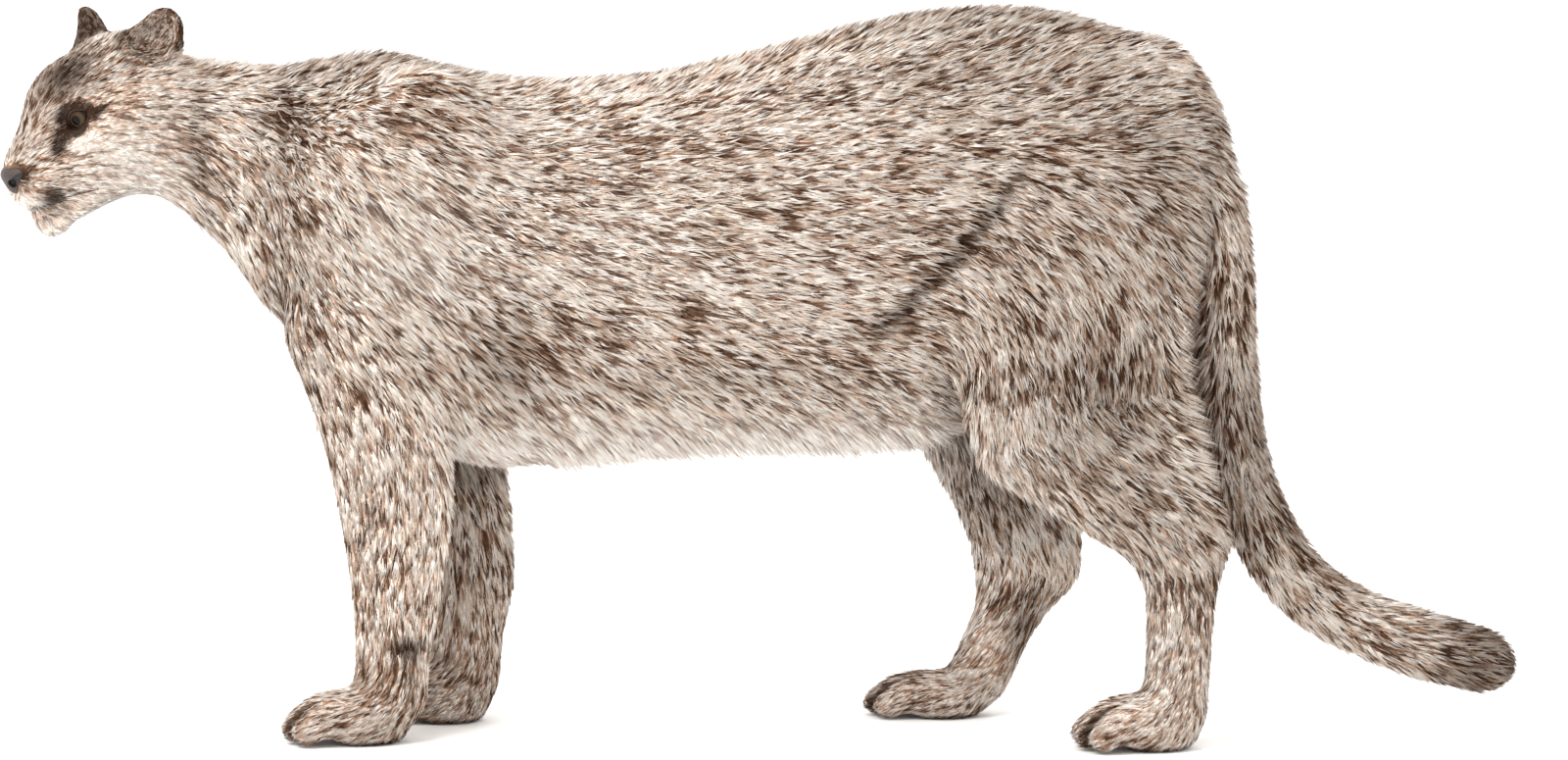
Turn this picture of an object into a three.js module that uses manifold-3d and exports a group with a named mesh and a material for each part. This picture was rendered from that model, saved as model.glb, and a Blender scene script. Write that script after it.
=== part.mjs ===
// A cougar, life size, standing: millimetres, head towards -X, the ground at z = 0.
import * as THREE from 'three';
import { mergeVertices } from 'three/addons/utils/BufferGeometryUtils.js';
import Module from 'manifold-3d';

const wasm = await Module();
wasm.setup();

// Driving dimensions of the animal
const GAP = 0.3;
const WELD = 0.002;
const RUMP_HEIGHT = 749;
const WITHERS_HEIGHT = 706;
const BACK_DIP_HEIGHT = 667;
const BELLY_HEIGHT = 284;
const CHEST_HALF_WIDTH = 118;
const BARREL_HALF_WIDTH = 134;
const HIP_HALF_WIDTH = 112;
const TAIL_RADIUS = 38;

// The head: where the eyes' midpoint lies, how far it is turned and bowed
const HEAD_AT = new THREE.Vector3(-690, -62, 631);
const HEAD_TURN = 33;
const HEAD_BOW = 28;
const EYE_RADIUS = 17;
const EYE_AT = new THREE.Vector3(-8, 30, 0);
const EYE_OUTWARD = 32;
const EYE_UPWARD = 5;
const LID_THICKNESS = 3;
const EYE_OPENING = { half: 14.5, above: 9.5, below: 8.5, slant: 14 };
const EAR_SEAT = -9;
const EARS = {
  left: { at: [-99, 54, 31], rise: [-0.64, 0.42, 0.62], open: [0.92, 0.4, 0.1] },
  right: { at: [-75, -46, 44], rise: [-0.34, -0.34, 0.86], open: [0.8, -0.52, 0.1] },
};
const EAR_ROOM = { deep: 52, wide: 76, high: 80 };
const NOSE = { at: [77, 0, -25], deep: 11, halfWidth: 21, halfHeight: 9.5 };
const MOUTH_LINE = 1;

// The fringe of longer coat under the belly
const FRINGE = { from: -204, to: 162, rows: [-38, 0, 38], perRow: 14, halfWidth: 6, halfThickness: 3, root: 7 };
const LOCK_LENGTHS = [9, 13, 17];

// How softly neighbouring forms run into each other
const SOFT_BODY = 60;
const SOFT_LIMB = 30;
const SOFT_HEAD = 16;
const SOFT_TOE = 5;

const degrees = THREE.MathUtils.degToRad;
const vector = (x, y, z) => new THREE.Vector3(x, y, z);

// Fields: each form is a function that gives the distance of a point from its surface,
// negative inside. Forms are joined by a rounded minimum.
function blend(a, b, softness) {
  const near = Math.max(softness - Math.abs(a - b), 0);
  return Math.min(a, b) - (near * near) / (4 * softness);
}

function carve(a, b, softness) {
  return -blend(-a, b, softness);
}

function union(forms, softness) {
  return (p) => forms.reduce((nearest, form) => blend(nearest, form(p), softness), 1e4);
}

function blended(a, b, softness) {
  return (p) => blend(a(p), b(p), softness);
}

// An ellipsoid, with its axes tipped about Y and then turned about Z (degrees)
function ellipsoid(at, radii, tip = 0, turn = 0) {
  const axes = new THREE.Matrix4().makeRotationFromEuler(
    new THREE.Euler(0, degrees(tip), degrees(turn), 'ZYX'));
  const back = new THREE.Matrix3().setFromMatrix4(axes).transpose();
  const centre = vector(...at);
  const local = vector();
  return (p) => {
    local.copy(p).sub(centre).applyMatrix3(back);
    const [x, y, z] = [local.x / radii[0], local.y / radii[1], local.z / radii[2]];
    const reach = Math.hypot(x, y, z);
    const slope = Math.hypot(x / radii[0], y / radii[1], z / radii[2]);
    return slope < 1e-9 ? -Math.min(...radii) : reach * (reach - 1) / slope;
  };
}

// A round-ended tube along a smooth path: across is its radius sideways, deep in the other way
function tube(stations, lateral = vector(0, 1, 0)) {
  const steps = (stations.length - 1) * 4;
  const path = new THREE.CatmullRomCurve3(
    stations.map(([x, y, z]) => vector(x, y, z)), false, 'catmullrom');
  const size = new THREE.CatmullRomCurve3(
    stations.map(([, , , across, deep]) => vector(across, deep, 0)), false, 'catmullrom');
  const points = path.getPoints(steps);
  const sizes = size.getPoints(steps);
  const links = points.slice(1).map((end, i) => {
    const start = points[i];
    const run = end.clone().sub(start);
    const along = run.clone().normalize();
    const across = lateral.clone().addScaledVector(along, -lateral.dot(along)).normalize();
    const deep = along.clone().cross(across);
    return { start, run, along, across, deep, square: run.lengthSq(), from: sizes[i], to: sizes[i + 1] };
  });
  const offset = vector();
  return (p) => {
    let best = Infinity;
    let nearest = links[0];
    let part = 0;
    for (const link of links) {
      offset.copy(p).sub(link.start);
      const t = Math.min(Math.max(offset.dot(link.run) / link.square, 0), 1);
      const apart = offset.addScaledVector(link.run, -t).lengthSq();
      if (apart < best) {
        best = apart;
        nearest = link;
        part = t;
      }
    }
    const across = THREE.MathUtils.lerp(nearest.from.x, nearest.to.x, part);
    const deep = THREE.MathUtils.lerp(nearest.from.y, nearest.to.y, part);
    offset.copy(p).sub(nearest.start).addScaledVector(nearest.run, -part);
    const round = Math.min(across, deep);
    const reach = Math.hypot(
      offset.dot(nearest.across) / across, offset.dot(nearest.deep) / deep, offset.dot(nearest.along) / round);
    return reach < 1e-6 ? -round : offset.length() * (1 - 1 / reach);
  };
}

// A rounded body along X, from stations of x, top, bottom and half width, with its ends rounded
function loft(stations, cap) {
  const curve = new THREE.CatmullRomCurve3(
    stations.map(([x, top, bottom]) => vector(x, (top + bottom) / 2, (top - bottom) / 2)), false, 'catmullrom');
  const widths = new THREE.CatmullRomCurve3(
    stations.map(([x, , , halfWidth]) => vector(x, halfWidth, 0)), false, 'catmullrom');
  const steps = (stations.length - 1) * 4;
  const middles = curve.getPoints(steps);
  const sides = widths.getPoints(steps);
  const [first, last] = [middles[0].x, middles[steps].x];
  return (p) => {
    const x = THREE.MathUtils.clamp(p.x, first, last);
    const i = Math.max(1, middles.findIndex((middle) => middle.x >= x));
    const t = (x - middles[i - 1].x) / (middles[i].x - middles[i - 1].x);
    const height = THREE.MathUtils.lerp(middles[i - 1].y, middles[i].y, t);
    const deep = THREE.MathUtils.lerp(middles[i - 1].z, middles[i].z, t);
    const across = THREE.MathUtils.lerp(sides[i - 1].y, sides[i].y, t);
    const offset = [(p.x - x) / cap, p.y / across, (p.z - height) / deep];
    const reach = Math.hypot(...offset);
    const slope = Math.hypot(offset[0] / cap, offset[1] / across, offset[2] / deep);
    return slope < 1e-9 ? -across : reach * (reach - 1) / slope;
  };
}

// The head's own frame: x forward to the nose, y to the animal's left, z up, from between the eyes
const headForward = vector(-Math.cos(degrees(HEAD_BOW)) * Math.cos(degrees(HEAD_TURN)),
  -Math.cos(degrees(HEAD_BOW)) * Math.sin(degrees(HEAD_TURN)), -Math.sin(degrees(HEAD_BOW)));
const headLeft = vector(Math.sin(degrees(HEAD_TURN)), -Math.cos(degrees(HEAD_TURN)), 0);
const headUp = headForward.clone().cross(headLeft);
const headFrame = new THREE.Matrix4().makeBasis(headForward, headLeft, headUp).setPosition(HEAD_AT);
const toHead = headFrame.clone().invert();

// Forms of the head, for one side; the other side is its mirror image
const skull = union([
  ellipsoid([-66, 0, 0], [62, 58, 58]),
  ellipsoid([-14, 0, 12], [52, 44, 43], 14),
  ellipsoid([-6, 25, 17], [20, 17, 10], 12, 26),
  ellipsoid([-26, 42, -24], [44, 25, 22], 4, -20),
  ellipsoid([-48, 40, -46], [46, 30, 36]),
  ellipsoid([-84, 38, -22], [36, 34, 43]),
  ellipsoid([-22, 24, -62], [50, 25, 25], 4, -8),
], SOFT_HEAD);
const muzzle = union([
  tube([[-14, 0, 0, 28, 36], [20, 0, -4, 26, 29], [50, 0, -11, 23, 22.5], [70, 0, -17, 20, 15]]),
  ellipsoid([14, 21, -14], [26, 14, 17], 0, -14),
  ellipsoid([34, 0, -38], [42, 36, 29]),
  ellipsoid([58, 18, -42], [27, 25, 23], 0, -8),
  ellipsoid([24, 26, -48], [38, 24, 24], 0, -14),
  ellipsoid([67, 0, -48], [19, 13, 15]),
], 14);
const lowerJaw = union([
  tube([[-40, 0, -64, 48, 27], [0, 0, -70, 42, 25], [34, 0, -74, 34, 20], [54, 0, -76, 27, 17]]),
  ellipsoid([63, 0, -82], [18, 24, 16]),
  ellipsoid([65, 0, -69], [16, 24, 8]),
], 9);
const eyeOutward = vector(
  Math.cos(degrees(EYE_OUTWARD)) * Math.cos(degrees(EYE_UPWARD)),
  Math.sin(degrees(EYE_OUTWARD)) * Math.cos(degrees(EYE_UPWARD)),
  Math.sin(degrees(EYE_UPWARD)));
const socket = ellipsoid(
  EYE_AT.clone().addScaledVector(eyeOutward, EYE_RADIUS + 13).add(vector(0, -3, -1)).toArray(),
  [11, 15, 11], 0, 30);
const lids = ellipsoid(EYE_AT.toArray(), Array(3).fill(EYE_RADIUS + LID_THICKNESS));

// An ear: a bowl that opens forward and outward, wide at its root and rounded at its tip
function earFrame({ at, rise, open }) {
  const up = vector(...rise).normalize();
  const facing = vector(...open);
  facing.addScaledVector(up, -facing.dot(up)).normalize();
  return new THREE.Matrix4().makeBasis(facing, up.clone().cross(facing), up).setPosition(vector(...at));
}

function earForms(ear) {
  const toEar = earFrame(ear).invert();
  const outside = union([ellipsoid([-2, 0, 7], [16, 24, 31]), ellipsoid([0, 0, -10], [20, 33, 24])], 12);
  const inside = union([ellipsoid([10, 0, 8], [18.5, 17, 26.5]), ellipsoid([12, 0, -6], [17, 22, 17])], 10);
  const local = vector();
  return {
    outside: (p) => outside(local.copy(p).applyMatrix4(toEar)),
    inside: (p) => inside(local.copy(p).applyMatrix4(toEar)),
  };
}
const earForm = { left: earForms(EARS.left), right: earForms(EARS.right) };

const inHead = vector();
function head(p) {
  inHead.copy(p).applyMatrix4(toHead);
  const ear = inHead.y > 0 ? earForm.left : earForm.right;
  const [outside, inside] = [ear.outside(inHead), ear.inside(inHead)];
  inHead.y = Math.abs(inHead.y);
  let mass = blend(blend(skull(inHead), muzzle(inHead), 24), lowerJaw(inHead), 10);
  mass = blend(carve(mass, socket(inHead), 12), lids(inHead), 6);
  return carve(blend(mass, outside, 14), inside, 4);
}

// Neck and torso: stations from the head to the rump (x, y, z, half width, half depth)
const neck = tube([
  [-625, -36, 630, 68, 64],
  [-560, -14, 614, 80, 82],
  [-500, 0, 588, 92, 104],
  [-445, 0, 560, 104, 128],
]);
const torso = loft([
  [-430, WITHERS_HEIGHT - 22, 352, CHEST_HALF_WIDTH - 30],
  [-385, WITHERS_HEIGHT - 8, 326, CHEST_HALF_WIDTH - 12],
  [-300, WITHERS_HEIGHT - 22, 274, CHEST_HALF_WIDTH + 4],
  [-225, BACK_DIP_HEIGHT + 8, BELLY_HEIGHT - 12, BARREL_HALF_WIDTH - 6],
  [-100, BACK_DIP_HEIGHT + 15, BELLY_HEIGHT, BARREL_HALF_WIDTH],
  [0, BACK_DIP_HEIGHT + 37, BELLY_HEIGHT + 4, BARREL_HALF_WIDTH],
  [100, RUMP_HEIGHT - 19, BELLY_HEIGHT + 6, BARREL_HALF_WIDTH - 6],
  [200, RUMP_HEIGHT - 3, BELLY_HEIGHT + 18, HIP_HALF_WIDTH + 8],
  [280, RUMP_HEIGHT - 4, 350, HIP_HALF_WIDTH],
  [335, RUMP_HEIGHT - 16, 420, HIP_HALF_WIDTH - 12],
  [387, RUMP_HEIGHT - 38, 480, HIP_HALF_WIDTH - 32],
], 60);
const trunkMuscles = union([
  ellipsoid([-374, 0, 425], [50, 88, 100], -22),
  ellipsoid([374, 0, 600], [68, 80, 90], 20),
], SOFT_BODY);

// A foreleg from the shoulder blade to the wrist; side is -1 for the left one, 1 for the right
function foreleg(side, elbow, wrist) {
  return union([
    ellipsoid([-372, side * 84, 545], [72, 40, 150], 24),
    tube([
      [-414, side * 90, 420, 48, 57],
      [elbow - 13, side * 88, 340, 46, 65],
      [elbow, side * 78, 262, 42, 62],
      [wrist + 8, side * 68, 160, 33, 47],
      [wrist + 3, side * 62, 95, 30, 39],
      [wrist, side * 60, 48, 31, 38],
    ]),
  ], 45);
}

// A hind leg from the hip to the foot, through its knee and hock
function hindLeg(side, knee, hock, foot) {
  const thigh = tube([
    [330, side * 72, 575, 52, 120],
    [THREE.MathUtils.lerp(330, knee.x, 0.55), side * 80, 460, 50, 118],
    [knee.x, side * 84, knee.z, 43, 78],
  ]);
  const shank = tube([
    [knee.x, side * 84, knee.z, 43, 78],
    [THREE.MathUtils.lerp(knee.x, hock.x, 0.5), side * 86, (knee.z + hock.z) / 2, 36, 60],
    [hock.x, side * 88, hock.z, 29, hock.deep],
  ]);
  const metatarsus = tube([
    [hock.x, side * 88, hock.z, 29, hock.deep],
    [(hock.x + foot.x) / 2, side * 88, (hock.z + foot.z) / 2, 27, 35],
    [foot.x, side * 88, foot.z, 30, 33],
  ]);
  const hamstring = tube([
    [384, side * 66, 560, 44, 56],
    [368, side * 78, 430, 42, 56],
    [(368 + hock.x) / 2, side * 85, (430 + hock.z) / 2, 33, 44],
    [hock.x + 22, side * 88, hock.z + 10, 22, 22],
  ]);
  return union([thigh, hamstring, shank, metatarsus], SOFT_LIMB);
}

const FORE_LEFT = { side: -1, elbow: -365, wrist: -374, heading: 4 };
const FORE_RIGHT = { side: 1, elbow: -323, wrist: -310, heading: -4 };
const HIND_LEFT = {
  side: -1, knee: { x: 272, z: 330 }, hock: { x: 424, z: 205, deep: 43 }, foot: { x: 418, z: 44 }, heading: 5 };
const HIND_RIGHT = {
  side: 1, knee: { x: 229, z: 318 }, hock: { x: 282, z: 162, deep: 51 }, foot: { x: 229, z: 42 }, heading: -5 };

// A paw in its own frame: x forward, y to the animal's left, ground at z = 0; high scales its height
function paw(at, heading, long, high = 1) {
  const toes = [-1.5, -0.5, 0.5, 1.5].map((place) => {
    const spread = place * 17.5;
    const tip = long - 6 * Math.abs(place) * Math.abs(place);
    return tube([
      [6, spread * 0.7, 28, 15, 25],
      [tip * 0.62, spread, 29, 14.5, 21],
      [tip, spread * 1.06, 16, 12.5, 15.5],
    ]);
  });
  const palm = union([ellipsoid([0, 0, 24], [44, 38, 26]), ellipsoid([-8, 0, 10], [34, 30, 16])], 12);
  const whole = blended(palm, union(toes, SOFT_TOE), 14);
  const toPaw = new THREE.Matrix4().makeRotationZ(Math.PI + degrees(heading))
    .setPosition(vector(...at)).invert();
  toPaw.premultiply(new THREE.Matrix4().makeScale(1, 1, 1 / high));
  const local = vector();
  return (p) => whole(local.copy(p).applyMatrix4(toPaw));
}

const legs = [
  blended(foreleg(-1, FORE_LEFT.elbow, FORE_LEFT.wrist), paw([-402, -60, 0], FORE_LEFT.heading, 70), 22),
  blended(foreleg(1, FORE_RIGHT.elbow, FORE_RIGHT.wrist), paw([-330, 56, 0], FORE_RIGHT.heading, 64), 22),
  blended(hindLeg(-1, HIND_LEFT.knee, HIND_LEFT.hock, HIND_LEFT.foot),
    paw([394, -92, 0], HIND_LEFT.heading, 69), 22),
  blended(hindLeg(1, HIND_RIGHT.knee, HIND_RIGHT.hock, HIND_RIGHT.foot),
    paw([188, 84, 0], HIND_RIGHT.heading, 68, 0.86), 22),
];

const tail = tube([
  [396, 0, 656, 40, 48],
  [440, 0, 600, TAIL_RADIUS, 42],
  [466, 0, 500, TAIL_RADIUS, TAIL_RADIUS],
  [472, 0, 400, TAIL_RADIUS, TAIL_RADIUS],
  [482, 0, 300, TAIL_RADIUS, TAIL_RADIUS],
  [510, 0, 216, TAIL_RADIUS, TAIL_RADIUS],
  [556, 0, 150, TAIL_RADIUS, TAIL_RADIUS],
  [622, 0, 110, TAIL_RADIUS, TAIL_RADIUS],
  [690, 0, 87, TAIL_RADIUS + 1, TAIL_RADIUS + 1],
  [742, 0, 73, TAIL_RADIUS - 1, TAIL_RADIUS - 1],
]);

// The body without its tail
function body(p) {
  let mass = blend(neck(p), torso(p), SOFT_BODY);
  mass = blend(mass, trunkMuscles(p), SOFT_BODY);
  mass = blend(mass, head(p), 34);
  for (const leg of legs) {
    mass = blend(mass, leg(p), SOFT_LIMB);
  }
  return mass;
}

// The whole animal; the tail joins the rump only near its root, and hangs free below
function animal(p) {
  const hold = THREE.MathUtils.smoothstep(p.z, 540, 620) * 40;
  return hold > 0 ? blend(body(p), tail(p), hold) : Math.min(body(p), tail(p));
}

// Solids: a closed mesh as a solid that can be joined and cut, and back again
function solidOf(positions, triangles) {
  const mesh = new wasm.Mesh({
    numProp: 3, vertProperties: new Float32Array(positions), triVerts: new Uint32Array(triangles) });
  return new wasm.Manifold(mesh);
}

function solidOfGeometry(geometry) {
  const plain = geometry.clone();
  plain.deleteAttribute('normal');
  plain.deleteAttribute('uv');
  const merged = mergeVertices(plain, 1e-4);
  return solidOf(merged.getAttribute('position').array, merged.getIndex().array);
}

// The points of a cut solid are welded where they lie within WELD of each other
function geometryOf(solid) {
  const mesh = solid.getMesh();
  const raw = new THREE.BufferGeometry();
  raw.setAttribute('position', new THREE.Float32BufferAttribute(mesh.vertProperties, 3));
  raw.setIndex(new THREE.Uint32BufferAttribute(mesh.triVerts, 1));
  const welded = mergeVertices(raw, WELD);
  const index = Array.from(welded.getIndex().array);
  const kept = index.filter((_, n) => {
    const [a, b, c] = index.slice(n - (n % 3), n - (n % 3) + 3);
    return a !== b && b !== c && c !== a;
  });
  welded.setIndex(kept);
  return welded;
}

// A union may leave loose scraps: a piece keeps its largest body only
function largest(solid) {
  const bodies = solid.decompose();
  return bodies.reduce((best, one) => (one.volume() > best.volume() ? one : best), bodies[0]);
}

// Grid lines from lo to hi, about one step apart
function lines(lo, hi, step) {
  const count = Math.max(2, Math.round((hi - lo) / step));
  return Array.from({ length: count + 1 }, (_, i) => lo + ((hi - lo) * i) / count);
}

// The closed surface where a field changes sign, on a grid of boxes: one corner point in each box
// that the surface crosses, moved onto the surface, and one face across each grid edge it cuts
function surface(field, grid) {
  const [nx, ny, nz] = grid.map((axis) => axis.length);
  const values = new Float64Array(nx * ny * nz);
  const index = (i, j, k) => i + nx * (j + ny * k);
  const p = vector();
  for (let k = 0; k < nz; k += 1) {
    for (let j = 0; j < ny; j += 1) {
      for (let i = 0; i < nx; i += 1) {
        const rim = i === 0 || j === 0 || k === 0 || i === nx - 1 || j === ny - 1 || k === nz - 1;
        values[index(i, j, k)] = rim ? 1 : field(p.set(grid[0][i], grid[1][j], grid[2][k]));
      }
    }
  }
  fillCheckers(values, [nx, ny, nz]);
  const corners = new Int32Array(values.length).fill(-1);
  const positions = [];
  for (let k = 0; k < nz - 1; k += 1) {
    for (let j = 0; j < ny - 1; j += 1) {
      for (let i = 0; i < nx - 1; i += 1) {
        const point = crossing(values, index, grid, i, j, k);
        if (point) {
          corners[index(i, j, k)] = positions.length / 3;
          positions.push(...settle(point, field, grid, [i, j, k]));
        }
      }
    }
  }
  const strides = [1, nx, nx * ny];
  const triangles = [];
  for (let k = 0; k < nz - 1; k += 1) {
    for (let j = 0; j < ny - 1; j += 1) {
      for (let i = 0; i < nx - 1; i += 1) {
        const here = index(i, j, k);
        const at = [i, j, k];
        for (let axis = 0; axis < 3; axis += 1) {
          const inside = at[(axis + 1) % 3] > 0 && at[(axis + 2) % 3] > 0;
          if (inside && (values[here] < 0) !== (values[here + strides[axis]] < 0)) {
            const [u, w] = [strides[(axis + 1) % 3], strides[(axis + 2) % 3]];
            const face = [corners[here - u - w], corners[here - w], corners[here], corners[here - u]];
            splitFace(values[here] < 0 ? face : face.reverse(), positions, triangles);
          }
        }
      }
    }
  }
  return solidOf(positions, triangles);
}

// Where the signs at the four corners of a grid square alternate, the shallower outer corner is
// filled, so that no edge of the surface is shared by more than two faces
function fillCheckers(values, sizes) {
  const strides = [1, sizes[0], sizes[0] * sizes[1]];
  let changed = true;
  while (changed) {
    changed = false;
    for (let here = 0; here < values.length - strides[1] - strides[2]; here += 1) {
      for (let axis = 0; axis < 3; axis += 1) {
        const [u, w] = [strides[axis], strides[(axis + 1) % 3]];
        const square = [here, here + u, here + u + w, here + w];
        const signs = square.map((corner) => values[corner] < 0);
        if (signs[0] === signs[2] && signs[1] === signs[3] && signs[0] !== signs[1]) {
          const outer = square.filter((corner) => values[corner] >= 0);
          const filled = values[outer[0]] < values[outer[1]] ? outer[0] : outer[1];
          values[filled] = -0.5;
          changed = true;
        }
      }
    }
  }
}

// The mean of the points where the surface crosses the edges of one grid box
function crossing(values, index, grid, i, j, k) {
  const at = (c) => [i + (c & 1), j + ((c >> 1) & 1), k + (c >> 2)];
  const point = vector();
  let count = 0;
  for (let a = 0; a < 8; a += 1) {
    for (const bit of [1, 2, 4]) {
      if ((a & bit) === 0) {
        const [from, to] = [at(a), at(a | bit)];
        const [v, w] = [values[index(...from)], values[index(...to)]];
        if ((v < 0) !== (w < 0)) {
          const t = v / (v - w);
          point.x += THREE.MathUtils.lerp(grid[0][from[0]], grid[0][to[0]], t);
          point.y += THREE.MathUtils.lerp(grid[1][from[1]], grid[1][to[1]], t);
          point.z += THREE.MathUtils.lerp(grid[2][from[2]], grid[2][to[2]], t);
          count += 1;
        }
      }
    }
  }
  return count > 0 ? point.divideScalar(count) : null;
}

// Moves a point onto the surface by its slope, staying inside its grid box; at the grid's rim it stays
function settle(point, field, grid, cell) {
  const rim = cell.some((c, axis) => c === 0 || c === grid[axis].length - 2);
  const probe = vector();
  for (let round = 0; round < 3 && !rim; round += 1) {
    const distance = field(point);
    const slope = ['x', 'y', 'z'].map((axis) => {
      probe.copy(point)[axis] += 0.5;
      return (field(probe) - distance) / 0.5;
    });
    const steep = slope[0] ** 2 + slope[1] ** 2 + slope[2] ** 2;
    if (steep > 0.05) {
      point.x -= (distance * slope[0]) / steep;
      point.y -= (distance * slope[1]) / steep;
      point.z -= (distance * slope[2]) / steep;
    }
    ['x', 'y', 'z'].forEach((axis, n) => {
      const [lo, hi] = [grid[n][cell[n]], grid[n][cell[n] + 1]];
      const margin = (hi - lo) * 0.04;
      point[axis] = THREE.MathUtils.clamp(point[axis], lo + margin, hi - margin);
    });
  }
  return point.toArray();
}

// Splits a four-cornered face along its shorter diagonal
function splitFace([a, b, c, d], positions, triangles) {
  const apart = (m, n) => Math.hypot(
    positions[3 * m] - positions[3 * n], positions[3 * m + 1] - positions[3 * n + 1],
    positions[3 * m + 2] - positions[3 * n + 2]);
  triangles.push(...(apart(a, c) <= apart(b, d) ? [a, b, c, a, c, d] : [a, b, d, b, c, d]));
}

// All space beyond a plane, as far as the animal reaches
const REACH = 2400;
function beyond(at, normal, shift = 0) {
  const box = new THREE.BoxGeometry(REACH, REACH, REACH);
  const direction = vector(...normal).normalize();
  box.translate(0, 0, REACH / 2 + shift);
  box.applyQuaternion(new THREE.Quaternion().setFromUnitVectors(vector(0, 0, 1), direction));
  box.translate(...at);
  return solidOfGeometry(box);
}

// A region between planes, each given by a point and its outward direction, grown by some slack
function region(planes, slack) {
  const whole = solidOfGeometry(new THREE.BoxGeometry(REACH, REACH, REACH));
  return planes.reduce((rest, [at, normal]) => rest.subtract(beyond(at, normal, slack)), whole);
}

// Where the animal is parted
const flip = ([at, normal]) => [at, normal.map((n) => -n)];
const NAPE = [[-590, -24, 622], [-65, -22, 16]];
const NECK_ROOT = [[-474, 0, 540], [-0.989, 0, 0.148]];
const MIDRIFF = [[-215, 0, 400], [1, 0, 0]];
const LOIN = [[190, 0, 400], [1, 0, 0]];
const ELBOWS = [[-330, 0, 292], [0.2, 0, 1]];
const SHOULDERS = [[-380, 0, 560], [0.3, 0, 1]];
const KNEES = [[190, 0, 300], [-0.4, 0, 1]];
const HIPS = [[300, 0, 560], [-0.15, 0, 1]];
const GROUND = [[0, 0, -GAP / 2], [0, 0, -1]];
const FORELIMB_REAR = [[-262, 0, 400], [1, 0, 0]];
const level = (z) => [[0, 0, z], [0, 0, 1]];
const inner = (side, y) => [[0, side * y, 0], [0, -side, 0]];
const TAIL_ROOT = [[412, 0, 628], [-0.6, 0, 0.8]];
const TAIL_FRONT = [[428, 0, 500], [-1, 0, -0.27]];
const TAIL_SIDE = 47;

const upperForelimb = (side) => [
  SHOULDERS, flip(ELBOWS), NECK_ROOT, FORELIMB_REAR, inner(side, 62)];
const upperHindlimb = (side) => [HIPS, flip(KNEES), flip(LOIN), inner(side, 52)];
const tailPlanes = [
  TAIL_ROOT, TAIL_FRONT, [[0, TAIL_SIDE, 0], [0, 1, 0]], [[0, -TAIL_SIDE, 0], [0, -1, 0]]];

// One piece of the animal: its field meshed in a box, kept inside its planes and out of others' room
function piece(field, box, steps, planes, others = []) {
  const grid = box.map(([lo, hi], axis) => lines(lo, hi, steps[axis]));
  const kept = surface(field, grid).intersect(region(planes, -GAP / 2));
  return largest(others.reduce((rest, other) => rest.subtract(region(other, GAP / 2)), kept));
}

const finish = (colour, roughness) => () => new THREE.MeshStandardMaterial({
  color: new THREE.Color(...colour), roughness, metalness: 0 });
const fur = finish([0.47, 0.38, 0.3], 0.92);
const darkFur = finish([0.2, 0.15, 0.11], 0.92);
const paleFur = finish([0.66, 0.58, 0.5], 0.92);
const bareSkin = finish([0.09, 0.06, 0.05], 0.5);
const wetEye = finish([0.32, 0.22, 0.1], 0.08);
const cougar = new THREE.Group();

// Adds a piece as a mesh whose own origin is its joint
function add(name, solid, joint, material = fur(), parent = cougar) {
  const geometry = geometryOf(solid);
  geometry.translate(-joint[0], -joint[1], -joint[2]);
  const mesh = new THREE.Mesh(geometry, material);
  mesh.name = name;
  mesh.position.set(...joint);
  parent.add(mesh);
  return mesh;
}

function addTrunk() {
  add('neck', piece(body, [[-680, -420], [-140, 130], [340, 760]], [30, 27, 30],
    [NAPE, flip(NECK_ROOT)]), [-560, -14, 610]);
  add('chest', piece(body, [[-540, -190], [-170, 170], [240, 760]], [38, 32, 38],
    [NECK_ROOT, MIDRIFF, flip(ELBOWS)], [upperForelimb(-1), upperForelimb(1)]), [-400, 0, 500]);
  const belly = piece(body, [[-250, 230], [-170, 170], [230, 790]], [44, 30, 37], [flip(MIDRIFF), LOIN]);
  add('belly', fringeLocks().reduce((whole, lock) => whole.add(lock), belly), [0, 0, 480]);
  add('rump', piece(body, [[160, 520], [-170, 170], [240, 800]], [36, 31, 36],
    [flip(LOIN), flip(KNEES)], [upperHindlimb(-1), upperHindlimb(1), tailPlanes]), [300, 0, 600]);
}

// The flat, tapered locks under the belly, rooted in it and leaning back, from one seed
function fringeLocks() {
  const locks = [];
  let seed = 7;
  const random = () => {
    seed = (seed * 16807) % 2147483647;
    return seed / 2147483647;
  };
  for (const row of FRINGE.rows) {
    for (let i = 0; i < FRINGE.perRow; i += 1) {
      const x = THREE.MathUtils.lerp(FRINGE.from, FRINGE.to, (i + random()) / FRINGE.perRow);
      const y = row + 16 * (random() - 0.5);
      const length = LOCK_LENGTHS[Math.floor(random() * LOCK_LENGTHS.length)];
      const root = vector(x, y, undersideAt(x, y) + FRINGE.root);
      locks.push(lock(root, length + FRINGE.root, 0.35 + 0.4 * random()));
    }
  }
  return locks;
}

// The height of the belly's underside at a place
function undersideAt(x, y) {
  let [inside, outside] = [400, 200];
  for (let halving = 0; halving < 12; halving += 1) {
    const middle = (inside + outside) / 2;
    if (body(vector(x, y, middle)) < 0) {
      inside = middle;
    } else {
      outside = middle;
    }
  }
  return inside;
}

// One lock, flat along the body: rings of four points that narrow to a blunt tip and bend backwards
function lock(root, length, lean) {
  const rings = [0, 0.6, 1].map((t) => {
    const half = FRINGE.halfWidth * Math.sqrt(1 - 0.97 * t * t);
    const thick = FRINGE.halfThickness * (1 - 0.75 * t);
    const at = root.clone().add(vector(length * lean * t * (0.6 + 0.4 * t), 0, -length * t * (1 - 0.25 * lean * t)));
    return [[half, 0], [0, thick], [-half, 0], [0, -thick]].map(([x, y]) => vector(at.x + x, at.y + y, at.z));
  });
  return skinOver(rings);
}

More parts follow.
